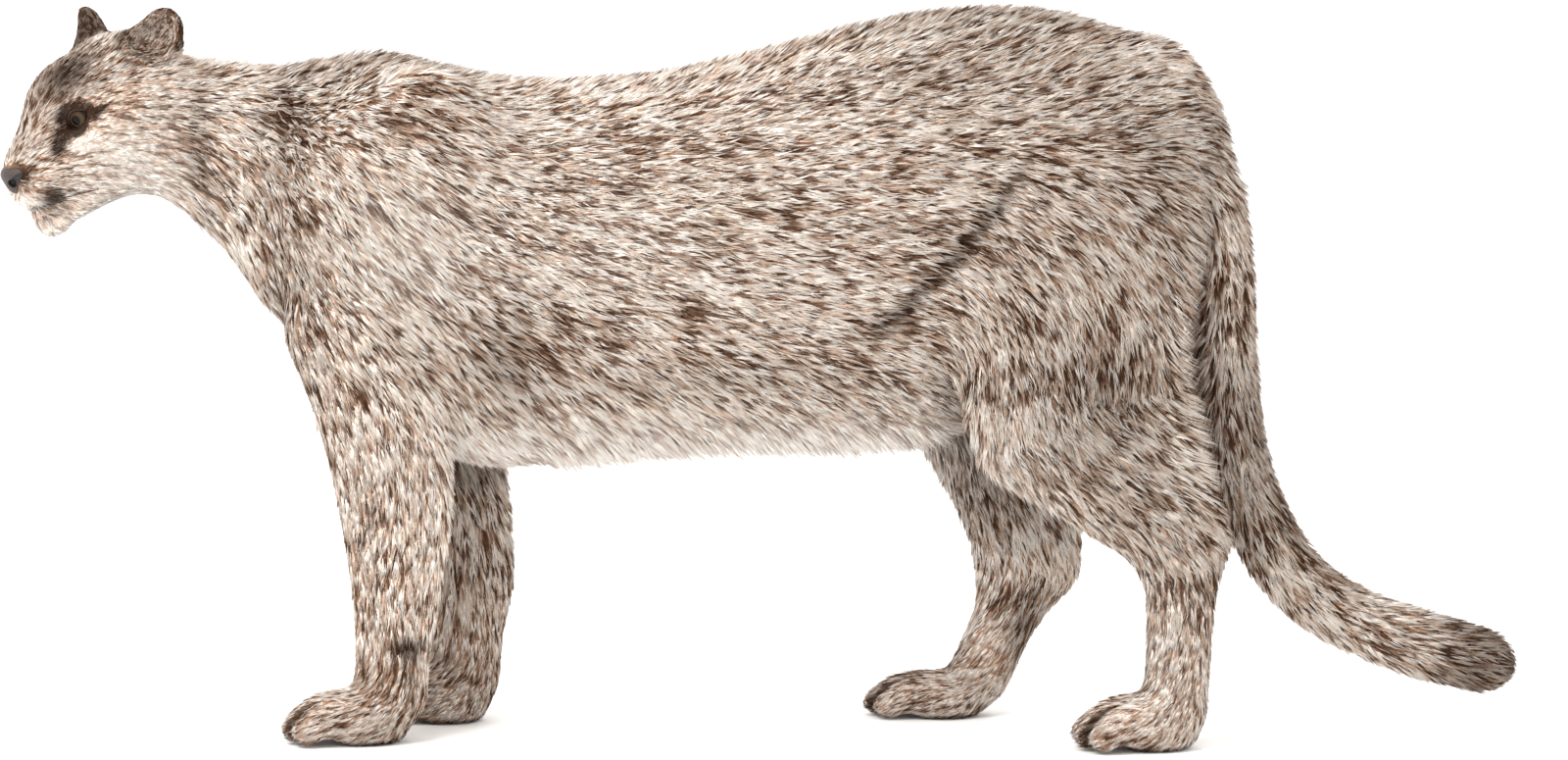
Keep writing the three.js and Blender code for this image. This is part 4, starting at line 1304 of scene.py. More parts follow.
@dataclass(frozen=True)
class Nodes:
    """The nodes of one material, with the kinds of node that the finishes are made of."""

    tree: bpy.types.NodeTree

    def link(self, source: Socket, target: Socket) -> None:
        """Feeds one socket from another."""
        self.tree.links.new(source, target)

    def coordinates(self) -> Socket:
        """Object coordinates, in metres."""
        return self.tree.nodes.new("ShaderNodeTexCoord").outputs["Object"]

    def attribute(self, name: str, socket: str = "Fac") -> Socket:
        """What is painted on the mesh under a name."""
        node = self.tree.nodes.new("ShaderNodeAttribute")
        node.attribute_name = name
        return node.outputs[socket]

    def noise(self, scale: float, detail: float = 3.0, vector: Socket | None = None) -> Socket:
        """Noise over the piece.

        Args:
            scale: Waves a metre, about.
            detail: Octaves.
            vector: Coordinates to use in place of Object coordinates.

        Returns:
            The noise, from 0 to 1.
        """
        node = self.tree.nodes.new("ShaderNodeTexNoise")
        node.inputs["Scale"].default_value = scale
        node.inputs["Detail"].default_value = detail
        self.link(self.coordinates() if vector is None else vector, node.inputs["Vector"])
        return node.outputs["Fac"]

    def around_zero(self, scale: float, detail: float, share: float) -> Socket:
        """Noise over the piece from minus half a share to half a share."""
        return self.scaled(self.noise(scale, detail), share, -share / 2)

    def ramped(self, value: Socket, stops: Sequence[tuple[float, Colour]]) -> Socket:
        """A value turned into colours between stops.

        Args:
            value: What chooses the colour.
            stops: Places and colours, in order.

        Returns:
            The colour.
        """
        node = self.tree.nodes.new("ShaderNodeValToRGB")
        ramp_stops = node.color_ramp.elements
        for k, (place, colour) in enumerate(stops):
            stop = ramp_stops[k] if k < 2 else ramp_stops.new(place)
            stop.position = place
            stop.color = colour
        self.link(value, node.inputs["Fac"])
        return node.outputs["Color"]

    def mixed(self, share: Socket, first: Socket | Colour, second: Socket | Colour) -> Socket:
        """Two colours mixed by a share; each is a socket or a plain colour.

        Args:
            share: How much of the second colour shows.
            first: Colour at share 0.
            second: Colour at share 1.

        Returns:
            The mixed colour.
        """
        node = self.tree.nodes.new("ShaderNodeMix")
        node.data_type = "RGBA"
        node.blend_type = "MIX"
        self.link(share, node.inputs["Factor"])
        for socket, colour in (("A", first), ("B", second)):
            slot = next(s for s in node.inputs if s.name == socket and s.type == "RGBA")
            if isinstance(colour, Socket):
                self.link(colour, slot)
            else:
                slot.default_value = colour
        return next(s for s in node.outputs if s.type == "RGBA")

    def scaled(self, value: Socket, factor: float, offset: float = 0.0) -> Socket:
        """A value times a factor, plus an offset.

        Args:
            value: The value.
            factor: What it is multiplied by.
            offset: What is then added.

        Returns:
            The result.
        """
        node = self.tree.nodes.new("ShaderNodeMath")
        node.operation = "MULTIPLY_ADD"
        self.link(value, node.inputs[0])
        node.inputs[1].default_value = factor
        node.inputs[2].default_value = offset
        return node.outputs[0]

    def added(self, first: Socket, second: Socket) -> Socket:
        """The sum of two values.

        Args:
            first: One value.
            second: The other.

        Returns:
            The sum.
        """
        node = self.tree.nodes.new("ShaderNodeMath")
        node.operation = "ADD"
        self.link(first, node.inputs[0])
        self.link(second, node.inputs[1])
        return node.outputs[0]

    def bump(self, shader: Node, height: Socket, depth: float) -> None:
        """Raises the surface by a height.

        Args:
            shader: The surface shader.
            height: The height, from 0 to 1.
            depth: Metres at full height.
        """
        node = self.tree.nodes.new("ShaderNodeBump")
        node.inputs["Distance"].default_value = depth
        self.link(height, node.inputs["Height"])
        self.link(node.outputs["Normal"], shader.inputs["Normal"])


class Finish:
    """What all finishes share: one material that is made once, from nodes."""

    slot: ClassVar[str] = "coat"

    def material(self) -> bpy.types.Material:
        """The material of this finish, made when it is first asked for.

        Returns:
            The material.
        """
        name = "finish_" + type(self).__name__.lower()
        if name in bpy.data.materials:
            return bpy.data.materials[name]
        material = bpy.data.materials.new(name)
        material.use_nodes = True
        tree = material.node_tree
        self.dress(Nodes(tree), tree.nodes["Principled BSDF"])
        return material

    def dress(self, nodes: Nodes, shader: Node) -> None:
        """Adds this finish's own nodes."""
        raise NotImplementedError


@dataclass(frozen=True)
class Fur(Finish):
    """The coat: dark, middle and cream hairs side by side, with the dark and pale places."""

    dark_hair: Colour = linear(88, 60, 43)
    brown_hair: Colour = linear(164, 130, 107)
    tawny_hair: Colour = linear(231, 207, 187)
    cream_hair: Colour = linear(254, 247, 239)
    # Laid over the dark places, which hold markings and painted shade
    marking_and_shade: Colour = linear(40, 28, 21)
    whitish: Colour = linear(254, 252, 249)
    drift_scale: float = 14.0
    drift_share: float = 0.2
    speckle_scale: float = 420.0
    speckle_share: float = 0.4
    pale_lift: float = 0.32
    dark_drop: float = 0.34
    pale_cover: float = 0.45
    dark_cover: float = 0.85

    def dress(self, nodes: Nodes, shader: Node) -> None:
        """Tone by tuft, a slow drift over the body and a fine speckle, with pale and dark places.

        Pale and dark places first shift the choice of hairs by pale_lift and -dark_drop, and are then
        laid over them by their covers. The dark places hold markings and painted shade alike.

        Args:
            nodes: The material's nodes.
            shader: Its surface shader.
        """
        pale, dark = nodes.attribute("pale"), nodes.attribute("dark")
        tone = nodes.attribute("tone")
        tone = nodes.added(tone, nodes.around_zero(self.drift_scale, 3.0, self.drift_share))
        tone = nodes.added(tone, nodes.scaled(pale, self.pale_lift))
        tone = nodes.added(tone, nodes.scaled(dark, -self.dark_drop))
        tone = nodes.added(tone, nodes.around_zero(self.speckle_scale, 2.0, self.speckle_share))
        hair = nodes.ramped(tone, [
            (0.0, self.dark_hair), (0.3, self.brown_hair), (0.62, self.tawny_hair), (1.0, self.cream_hair)])
        pale = nodes.mixed(nodes.scaled(pale, self.pale_cover), hair, self.whitish)
        dark = nodes.mixed(nodes.scaled(dark, self.dark_cover), pale, self.marking_and_shade)
        nodes.link(dark, shader.inputs["Base Color"])
        shader.inputs["Roughness"].default_value = 0.9
        shader.inputs["Specular IOR Level"].default_value = 0.03


@dataclass(frozen=True)
class ShortFur(Fur):
    """The shortest fur on the skin under the tufts: the same colours over a fine nap."""

    def dress(self, nodes: Nodes, shader: Node) -> None:
        """The coat's colours, raised by fine noise."""
        super().dress(nodes, shader)
        nodes.bump(shader, nodes.noise(700.0, 4.0), 0.0008)


@dataclass(frozen=True)
class Eye(Finish):
    """An eye: round black pupil, dark amber iris with spokes and a darker rim, brown beyond it."""

    slot: ClassVar[str] = "eye"
    pupil: float = 0.25
    iris: float = 0.63
    flecks: float = 0.09

    def dress(self, nodes: Nodes, shader: Node) -> None:
        """Rings of colour by the angle from the eye's axis, which noise shifts a little by spokes.

        Args:
            nodes: The material's nodes.
            shader: Its surface shader.
        """
        ring = nodes.attribute("ring")
        spokes = nodes.noise(1.0, 4.0, nodes.attribute("spoke", "Vector"))
        angle = nodes.added(ring, nodes.scaled(spokes, self.flecks, -self.flecks / 2))
        colour = nodes.ramped(angle, [
            (0.0, linear(4, 3, 3)), (self.pupil - 0.01, linear(5, 4, 3)),
            (self.pupil + 0.02, linear(56, 42, 29)), (0.42, linear(72, 55, 38)),
            (self.iris - 0.06, linear(44, 33, 24)), (self.iris, linear(22, 16, 12)),
            (0.8, linear(36, 27, 23)), (1.0, linear(52, 42, 36))])
        nodes.link(colour, shader.inputs["Base Color"])
        shader.inputs["Roughness"].default_value = 0.05
        shader.inputs["Specular IOR Level"].default_value = 0.14


@dataclass(frozen=True)
class Rhinarium(Finish):
    """The bare nose: dark, finely pebbled and slightly moist, with painted shade in the nostrils."""

    slot: ClassVar[str] = "nose_skin"
    deep: Colour = linear(44, 32, 27)
    worn: Colour = linear(62, 46, 38)
    # Near black, painted as the shade inside the nostrils
    inner: Colour = linear(12, 8, 7)

    def dress(self, nodes: Nodes, shader: Node) -> None:
        """Pebbles from cells of about a millimetre, over two browns mixed by noise, with painted shade in the
        nostrils.

        Args:
            nodes: The material's nodes.
            shader: Its surface shader.
        """
        cells = nodes.tree.nodes.new("ShaderNodeTexVoronoi")
        cells.inputs["Scale"].default_value = 900.0
        nodes.link(nodes.coordinates(), cells.inputs["Vector"])
        colour = nodes.ramped(nodes.noise(60.0), [(0.3, self.deep), (0.75, self.worn)])
        # Painted shade: near black inside the nostrils, by how deep a point lies in them
        colour = nodes.mixed(nodes.attribute("hollow"), colour, self.inner)
        nodes.link(colour, shader.inputs["Base Color"])
        shader.inputs["Roughness"].default_value = 0.42
        nodes.bump(shader, cells.outputs["Distance"], -0.0005)


@dataclass(frozen=True)
class DarkRim(Finish):
    """The bare dark rims of the lids and the lips."""

    slot: ClassVar[str] = "nose_skin"
    colour: Colour = linear(34, 24, 19)
    lighter: Colour = linear(70, 53, 44)

    def dress(self, nodes: Nodes, shader: Node) -> None:
        """Nearly black, with a little brown in fine noise."""
        colour = nodes.ramped(nodes.noise(200.0), [(0.35, self.colour), (0.8, self.lighter)])
        nodes.link(colour, shader.inputs["Base Color"])
        shader.inputs["Roughness"].default_value = 0.45
        nodes.bump(shader, nodes.noise(700.0), 0.0003)


@dataclass(frozen=True)
class Bristle(Finish):
    """Whiskers: pale and horny, darker at the root."""

    slot: ClassVar[str] = "pale_coat"
    root: Colour = linear(120, 104, 90)
    tip: Colour = linear(244, 238, 228)

    def dress(self, nodes: Nodes, shader: Node) -> None:
        """From root to tip."""
        colour = nodes.ramped(nodes.attribute("along"), [(0.0, self.root), (0.3, self.tip)])
        nodes.link(colour, shader.inputs["Base Color"])
        shader.inputs["Roughness"].default_value = 0.4


@dataclass(frozen=True)
class PaleFloor(Finish):
    """The plain pale floor."""

    colour: Colour = linear(252, 251, 249)

    def dress(self, nodes: Nodes, shader: Node) -> None:
        """One pale tone with hardly any drift."""
        colour = nodes.ramped(nodes.noise(3.0), [(0.0, self.colour), (1.0, linear(254, 253, 252))])
        nodes.link(colour, shader.inputs["Base Color"])
        shader.inputs["Roughness"].default_value = 0.9


# The pieces


@dataclass
class Shell:
    """One part of the skin: its room, its grid and the planes that part it from its neighbours."""

    low: Sequence[float]
    high: Sequence[float]
    step: float
    cut: Callable[[Array], Array]
    overlap: float = 12.0

    def build(self, skin: Form) -> tuple[Array, Array]:
        """The closed surface of the skin inside the cut, which dips under its neighbour's.

        Args:
            skin: The skin's form.

        Returns:
            Points, one a row, and faces as rows of four point numbers.
        """
        def form(p: Array) -> Array:
            """The skin's form, ended just beyond the cut."""
            return keep(skin(p), self.cut(p) - self.overlap, 10.0)
        return closed_surface(form, self.low, self.high, self.step)


@dataclass
class Skin:
    """The whole skin: head, body and four feet as shells that overlap at the nape and the ankles."""

    body: Body
    nape_at: Sequence[float] = (-600.0, -28.0, 624.0)
    nape_way: Sequence[float] = (0.922, 0.312, -0.227)
    ankle: float = 104.0
    behind_feet: float = 455.0
    fine: float = 2.3
    feet: float = 3.4
    coarse: float = 6.8
    ground_tone: float = 0.3
    points: Array = field(init=False)
    faces: Array = field(init=False)
    owner: Array = field(init=False)

    def behind_nape(self, p: Array) -> Array:
        """Distance behind the nape's plane."""
        return (p - np.asarray(self.nape_at)) @ np.asarray(self.nape_way)

    def in_feet(self, p: Array) -> Array:
        """Below zero in the room of the feet: under the ankles and ahead of the tail."""
        return np.maximum(p[:, 2] - self.ankle, p[:, 0] - self.behind_feet)

    def shells(self) -> list[Shell]:
        """The parts of the skin: the head ends at the nape and the feet end at the ankles.

        Returns:
            The shells of head, body and four feet.
        """
        def body_cut(p: Array) -> Array:
            """The body starts at the nape and ends at the ankles."""
            return np.maximum(-self.behind_nape(p), -self.in_feet(p))

        parts = [Shell([-815, -195, 480], [-560, 60, 790], self.fine, self.behind_nape),
                 Shell([-680, -170, 20], [800, 170, 780], self.coarse, body_cut)]
        for low_x, high_x, low_y, high_y in ((-490, -310, -130, 10), (-420, -240, -10, 125),
                                             (300, 480, -160, -20), (90, 290, 20, 150)):
            parts.append(Shell([low_x, low_y, -8], [high_x, high_y, 135], self.feet, self.in_feet))
        return parts

    def build(self) -> None:
        """Meshes every shell and keeps points, faces and which shell they belong to."""
        points, faces, owner, start = [], [], [], 0
        for k, shell in enumerate(self.shells()):
            p, f = shell.build(self.body.skin)
            LOG.info("shell %d: %d points, %d faces", k, len(p), len(f))
            points.append(p)
            faces.append(f + start)
            owner.append(np.full(len(f), k))
            start += len(p)
        self.points, self.faces = np.vstack(points), np.vstack(faces)
        self.owner = np.concatenate(owner)

    def place(self, markings: Markings, shift: Array) -> None:
        """Puts the skin in the scene, painted with the markings, in place of the flesh nodes.

        Args:
            markings: Dark and pale places.
            shift: From the maker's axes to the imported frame, in millimetres.
        """
        _, slope = slopes_of(self.body, self.points)
        normal = unit(slope)
        paint = {"dark": markings.dark(self.points, normal), "pale": markings.pale(self.points, normal),
                 "tone": np.full(len(self.points), self.ground_tone)}
        piece = Draft(self.points, [self.faces], paint).place("skin", ShortFur(), shift)
        flesh = [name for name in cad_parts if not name.startswith(("eye_", "nose"))]
        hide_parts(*flesh)


@dataclass
class Sampler:
    """Scatters roots over the skin, as many a square millimetre as a density asks for."""

    skin: Skin
    random: np.random.Generator
    cell: float = 20.0

    def own_side(self, p: Array) -> Array:
        """The shell that each place belongs to: 0 the head, 1 the body, 2 any foot."""
        number = np.where(self.skin.behind_nape(p) < 0, 0, 1)
        return np.where(self.skin.in_feet(p) < 0, 2, number)

    def roots(self, density: Callable[[Array], Array]) -> tuple[Array, Array]:
        """Points spread evenly over the skin's triangles by their area times the density.

        Args:
            density: Roots a square millimetre at points.

        Returns:
            Places of the roots and the skin's normals there.
        """
        quads = self.skin.faces
        corners = self.skin.points[np.vstack([quads[:, [0, 1, 2]], quads[:, [0, 2, 3]]])]
        middle = corners.mean(1)
        cross = np.cross(corners[:, 1] - corners[:, 0], corners[:, 2] - corners[:, 0])
        owner = np.minimum(np.tile(self.skin.owner, 2), 2)
        share = np.linalg.norm(cross, axis=1) / 2 * density(middle) * (self.own_side(middle) == owner)
        order = np.lexsort((middle[:, 2] // self.cell, middle[:, 1] // self.cell, middle[:, 0] // self.cell))
        heap = np.cumsum(share[order])
        count = int(heap[-1])
        picked = (np.arange(count) + self.random.random(count)) * heap[-1] / count
        triangle = order[np.searchsorted(heap, picked).clip(0, len(order) - 1)]
        u, v = self.random.random((2, count, 1))
        u, v = np.where(u + v > 1, 1 - u, u), np.where(u + v > 1, 1 - v, v)
        a, b, c = (corners[triangle, k] for k in range(3))
        place = a + u * (b - a) + v * (c - a)
        _, slope = slopes_of(self.skin.body.skin, place)
        return place, unit(slope)


@dataclass
class Coat:
    """The coat: overlapping tapered tufts that follow its lie.

    No piece holds more tufts than most, and patch is the size of a tuft's place on the map. Roots lie
    root_sink under the skin, and no tip lies lower than tip_height. A tip is moved no further than
    lowered_most inwards and lifted_most outwards, and fringe_rise lifts the longer tufts at the tail.
    The share shown of a tuft's length is where its markings are taken.
    """

    body: Body
    skin: Skin
    markings: Markings
    random: np.random.Generator
    density_body: float = 0.062
    density_face: float = 0.18
    density_feet: float = 0.12
    length_body: float = 19.0
    length_face: float = 10.5
    width_body: float = 3.2
    width_face: float = 1.7
    blades: int = 3
    most: int = 16000
    patch: float = 0.003
    fringe_rise: float = 20.0
    root_sink: float = 0.9
    tip_height: float = 0.4
    lowered_most: float = 14.0
    lifted_most: float = 26.0
    shown: float = 0.6

    def fineness(self, p: Array) -> Array:
        """How fine the tufts are: 1 on the face, the ears and the feet, 0 on the body.

        Args:
            p: Points, one a row.

        Returns:
            A number for each point.
        """
        q = self.body.head.local(p)
        head = 1.0 - ramp(np.linalg.norm(q * [0.8, 1, 1], axis=1), 85, 150)
        feet = (1.0 - ramp(p[:, 2], 40, 190)) * (p[:, 0] < 450) * 0.8
        return np.maximum(head, feet)

    def density(self, p: Array) -> Array:
        """Roots a square millimetre: many fine tufts on the face, fewer on the body.

        Args:
            p: Points, one a row.

        Returns:
            The density at each point.
        """
        fine = self.fineness(p)
        feet = (p[:, 2] < 260) & (p[:, 0] < 450)
        most = np.where(feet, self.density_feet, self.density_face)
        ground = ramp(p[:, 2], 2.0, 6.0)
        ear = 1.0 - ramp(self.body.ears_near(self.body.head.local(p)), 2.0, 8.0)
        dense = 1.0 + 0.9 * ear + 0.6 * (1.0 - ramp(p[:, 2], 30.0, 60.0))
        return mix(self.density_body, most, fine ** 2) * ground * dense

    def pieces(self, shift: Array) -> None:
        """Grows all tufts and puts them in the scene limb by limb, split where they are many.

        Args:
            shift: From the maker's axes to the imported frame, in millimetres.
        """
        place, normal = Sampler(self.skin, self.random).roots(self.density)
        clear = self.clear_of_face(place)
        place, normal = place[clear], normal[clear]
        lie, limb = self.markings.lie(place, normal)
        LOG.info("tufts: %d", len(place))
        for k, part in enumerate(self.body.limbs):
            mine = np.flatnonzero(limb == k)
            share, _, off = part.place(place[mine])
            order = np.argsort(share, kind="stable")
            parts = max(1, math.ceil(len(mine) / self.most))
            for number, chosen in enumerate(np.array_split(order, parts)):
                picked = mine[chosen]
                draft = self.tufts(place[picked], normal[picked], lie[picked])
                draft.map = self.unwrap(share[chosen], off[chosen])
                name = f"coat_{part.name}" + (f"_{number + 1}" if parts > 1 else "")
                draft.place(name, Fur(), shift)

    def clear_of_face(self, p: Array) -> Array:
        """True where tufts may grow: not on the nose pad, at the lids' opening or between the lips.

        Args:
            p: Points, one a row.

        Returns:
            A truth value for each point.
        """
        q = self.body.head.local(p)
        one = one_sided(q)
        near = within(q, self.body.head.face_room)
        pad = near & (Nose().pad(one) < 0.6)
        eye = near & (self.body.head.opening(one) < 2.4)
        return ~(pad | eye | (near & (self.off_lips(p) < 1.8)))

    def off_lips(self, p: Array) -> Array:
        """Distance of points to the line between the lips.

        Args:
            p: Points, one a row.

        Returns:
            Distances in millimetres, as far as they are small.
        """
        best = np.full(len(p), FAR)
        near = np.flatnonzero(within(self.body.head.local(p), self.body.head.lip_room))
        for point in Mouth(self.body).path():
            best[near] = np.minimum(best[near], np.linalg.norm(p[near] - point, axis=1))
        return best

    def tufts(self, root: Array, normal: Array, lie: Array) -> Draft:
        """Tufts of thin three-sided blades whose roots stand apart and whose tips come together.

        Each tuft's tip is set at its own height over the skin, so that the tufts overlap like shingles
        and keep to the form of the body.

        Args:
            root: Places on the skin.
            normal: The skin's normals there.
            lie: The way the coat lies there.

        Returns:
            The draft of all blades.
        """
        count = len(root)
        fine = self.fineness(root)
        draw = self.random.random((8, count))
        turn = (draw[0] - 0.5) * (0.55 - 0.2 * fine)
        side = np.cross(normal, lie)
        way = lie * np.cos(turn)[:, None] + side * np.sin(turn)[:, None]
        side = np.cross(normal, way)
        depth = self.body.coat_depth(root)
        long = mix(self.length_body, self.length_face, fine) * (0.7 + 0.6 * draw[1])
        long = long * (0.45 + 0.55 * np.minimum(depth / 3.0, 1.0))
        long = np.minimum(long, self.room(root))
        wide = mix(self.width_body, self.width_face, fine) * (0.7 + 0.6 * draw[2])
        rise = depth * (0.35 + 0.65 * draw[3]) + self.fringe_rise * draw[3] * self.rump_fringe(root)
        belly = self.belly_fringe(root, normal)
        way = unit(way + belly[:, None] * normal * (0.6 + 0.8 * draw[4])[:, None])
        long = long * (1 + 0.25 * belly)
        tip = root + way * long[:, None] + side * ((draw[5] - 0.5) * 0.22 * long)[:, None]
        tip = np.where((belly > 0.25)[:, None], tip, self.lifted(tip, normal, rise * 0.95))
        spread, slip, shade = self.random.random((3, count, self.blades, 1)) - 0.5
        across = side[:, None] * spread * (1.4 * wide)[:, None, None]
        ahead = way[:, None] * slip * (0.34 * long)[:, None, None]
        base = (root - normal * self.root_sink)[:, None] + across + ahead
        half = (side * (0.3 * wide)[:, None])[:, None]
        ridge = (normal * (0.5 * wide)[:, None])[:, None]
        points = np.stack([base - half, base + half, base + ridge,
                           tip[:, None] + 0.3 * across + 0.8 * ahead], 2)
        points[..., 2] = np.maximum(points[..., 2], self.tip_height)
        blade = np.array([[0, 2, 1], [0, 1, 3], [1, 2, 3], [2, 0, 3]])
        faces = (np.arange(count * self.blades)[:, None, None] * 4 + blade[None]).reshape(-1, 3)
        tone = self.tone(self.lock(root, lie, draw[6]) + 0.05 * self.drift(root), draw[7])
        # Each blade's two base corners are painted darker as the shade deep in the coat; its tip is a little
        # lighter
        tone = tone[:, None, None] + 0.16 * shade + np.array([-0.14, -0.14, 0.0, 0.1])
        every = np.repeat(np.arange(count), 4 * self.blades)
        shown = root + way * (self.shown * long)[:, None]
        dark, pale = self.markings.dark(shown, normal), self.markings.pale(shown, normal)
        return Draft(points.reshape(-1, 3), [faces], {
            "tone": tone.ravel(), "dark": dark[every], "pale": pale[every]})

    def room(self, p: Array) -> Array:
        """How long a tuft may be at points: short beside lids, nose pad and ears, free elsewhere.

        Args:
            p: Points, one a row.

        Returns:
            Lengths in millimetres.
        """
        q = self.body.head.local(p)
        free = np.full(len(p), FAR)
        near = np.flatnonzero(within(q, self.body.head.ear_room))
        one = one_sided(q[near])
        eye = np.maximum(0.6 * self.body.head.opening(one), 1.8)
        pad = 4.2 + 0.9 * np.maximum(Nose().pad(one), 0.0)
        cup = 1.0 - ramp(self.body.head.ears(q[near], False), 0.0, 1.5)
        cup = cup * (1.0 - self.body.head.ear_top(q[near]))
        ear = 4.2 + 7.0 * cup + 0.6 * np.maximum(self.body.ears_near(q[near]) - 3.0, 0.0)
        free[near] = np.minimum(np.minimum(eye, pad), ear)
        return free

    def belly_fringe(self, p: Array, normal: Array) -> Array:
        """One under the belly, where tufts hang off the skin as locks, zero elsewhere."""
        under = ramp(-normal[:, 2], 0.45, 0.9) * ramp(-p[:, 2], -345, -320) * ramp(p[:, 2], 240, 262)
        return under * ramp(p[:, 0], -260, -200) * (1 - ramp(p[:, 0], 150, 210))

    def rump_fringe(self, p: Array) -> Array:
        """One behind the thighs and on the front of the tail, whose longer tufts meet, zero elsewhere."""
        height = ramp(p[:, 2], 230, 300) * (1 - ramp(p[:, 2], 520, 580))
        return height * ramp(p[:, 0], 395, 415) * (1 - ramp(p[:, 0], 450, 466))

    def tone(self, kind: Array, spread: Array) -> Array:
        """Dark below 0.33, cream above 0.5, and tawny between."""
        return np.where(kind < 0.33, -0.05 + 0.2 * spread,
                        np.where(kind > 0.5, 0.84 + 0.2 * spread, 0.38 + 0.3 * spread))

    def lock(self, p: Array, lie: Array, draw: Array) -> Array:
        """Tufts that lie side by side share a tone, in streaks along the lie, mixed with chance.

        The streaks are sums of waves 5 to 9 mm long across the lie, of one kind where the coat lies
        along X and of another where it lies along Z. The result is 0.45 chance + 0.55 streak.

        Args:
            p: Roots.
            lie: The way the coat lies there.
            draw: A chance number of each tuft, from 0 to 1.

        Returns:
            A number about from 0 to 1 for each tuft.
        """
        waves = np.random.default_rng(SEED + 2)
        level = ramp(np.abs(lie[:, 0]) - np.abs(lie[:, 2]), -0.2, 0.2)
        total = np.zeros(len(p))
        for weight, flat in ((level, [0.35, 1.0, 1.0]), (1 - level, [1.0, 1.0, 0.35])):
            for _ in range(20):
                way = unit(waves.normal(size=3)) * flat
                phase = p @ way * 2 * np.pi / waves.uniform(5, 9) + waves.uniform(0, 2 * np.pi)
                total += weight * np.sin(phase)
        return 0.45 * draw + 0.55 * (0.5 + 0.5 * np.tanh(0.8 * total / math.sqrt(10.0)))

    def drift(self, p: Array) -> Array:
        """Slow change of tone over the body: a sum of waves 26 to 80 mm long that run mostly across X.

        Args:
            p: Points, one a row.

        Returns:
            A number for each point, mostly from -1.5 to 1.5.
        """
        waves = np.random.default_rng(SEED + 1)
        total = np.zeros(len(p))
        for _ in range(14):
            way = unit(waves.normal(size=3) * [0.55, 1.0, 1.0])
            total += np.sin(p @ way * 2 * np.pi / waves.uniform(26, 80) + waves.uniform(0, 2 * np.pi))
        return total / math.sqrt(7.0)

    def lifted(self, p: Array, normal: Array, height: Array) -> Array:
        """Moves points along their root's normal to a height over the skin, within both limits."""
        level = values_of(self.body, p) + self.body.coat_depth(p)
        return p + normal * np.clip(height - level, -self.lowered_most, self.lifted_most)[:, None]

    def unwrap(self, share: Array, off: Array) -> Array:
        """Each blade's own patch at its root's place on the limb's unwrap.

        Args:
            share: Place along the limb's path.
            off: Way off the path, which gives the angle round it.

        Returns:
            Map coordinates of all points of the blades.
        """
        angle = np.arctan2(off[:, 2], off[:, 1] + 1e-6) / (2 * np.pi) + 0.5
        low, high = share.min(), share.max()
        u = 0.01 + 0.98 * angle
        v = 0.01 + 0.98 * (share - low) / max(high - low, 1e-6)
        blade = np.array([[-1, -1], [1, -1], [0, -0.4], [0, 1]]) / [self.blades, 1]
        slots = (2 * np.arange(self.blades) + 1) / self.blades - 1
        shape = blade[None] + np.stack([slots, 0 * slots], 1)[:, None]
        return (np.stack([u, v], 1)[:, None, None] + self.patch / 2 * shape[None]).reshape(-1, 2)


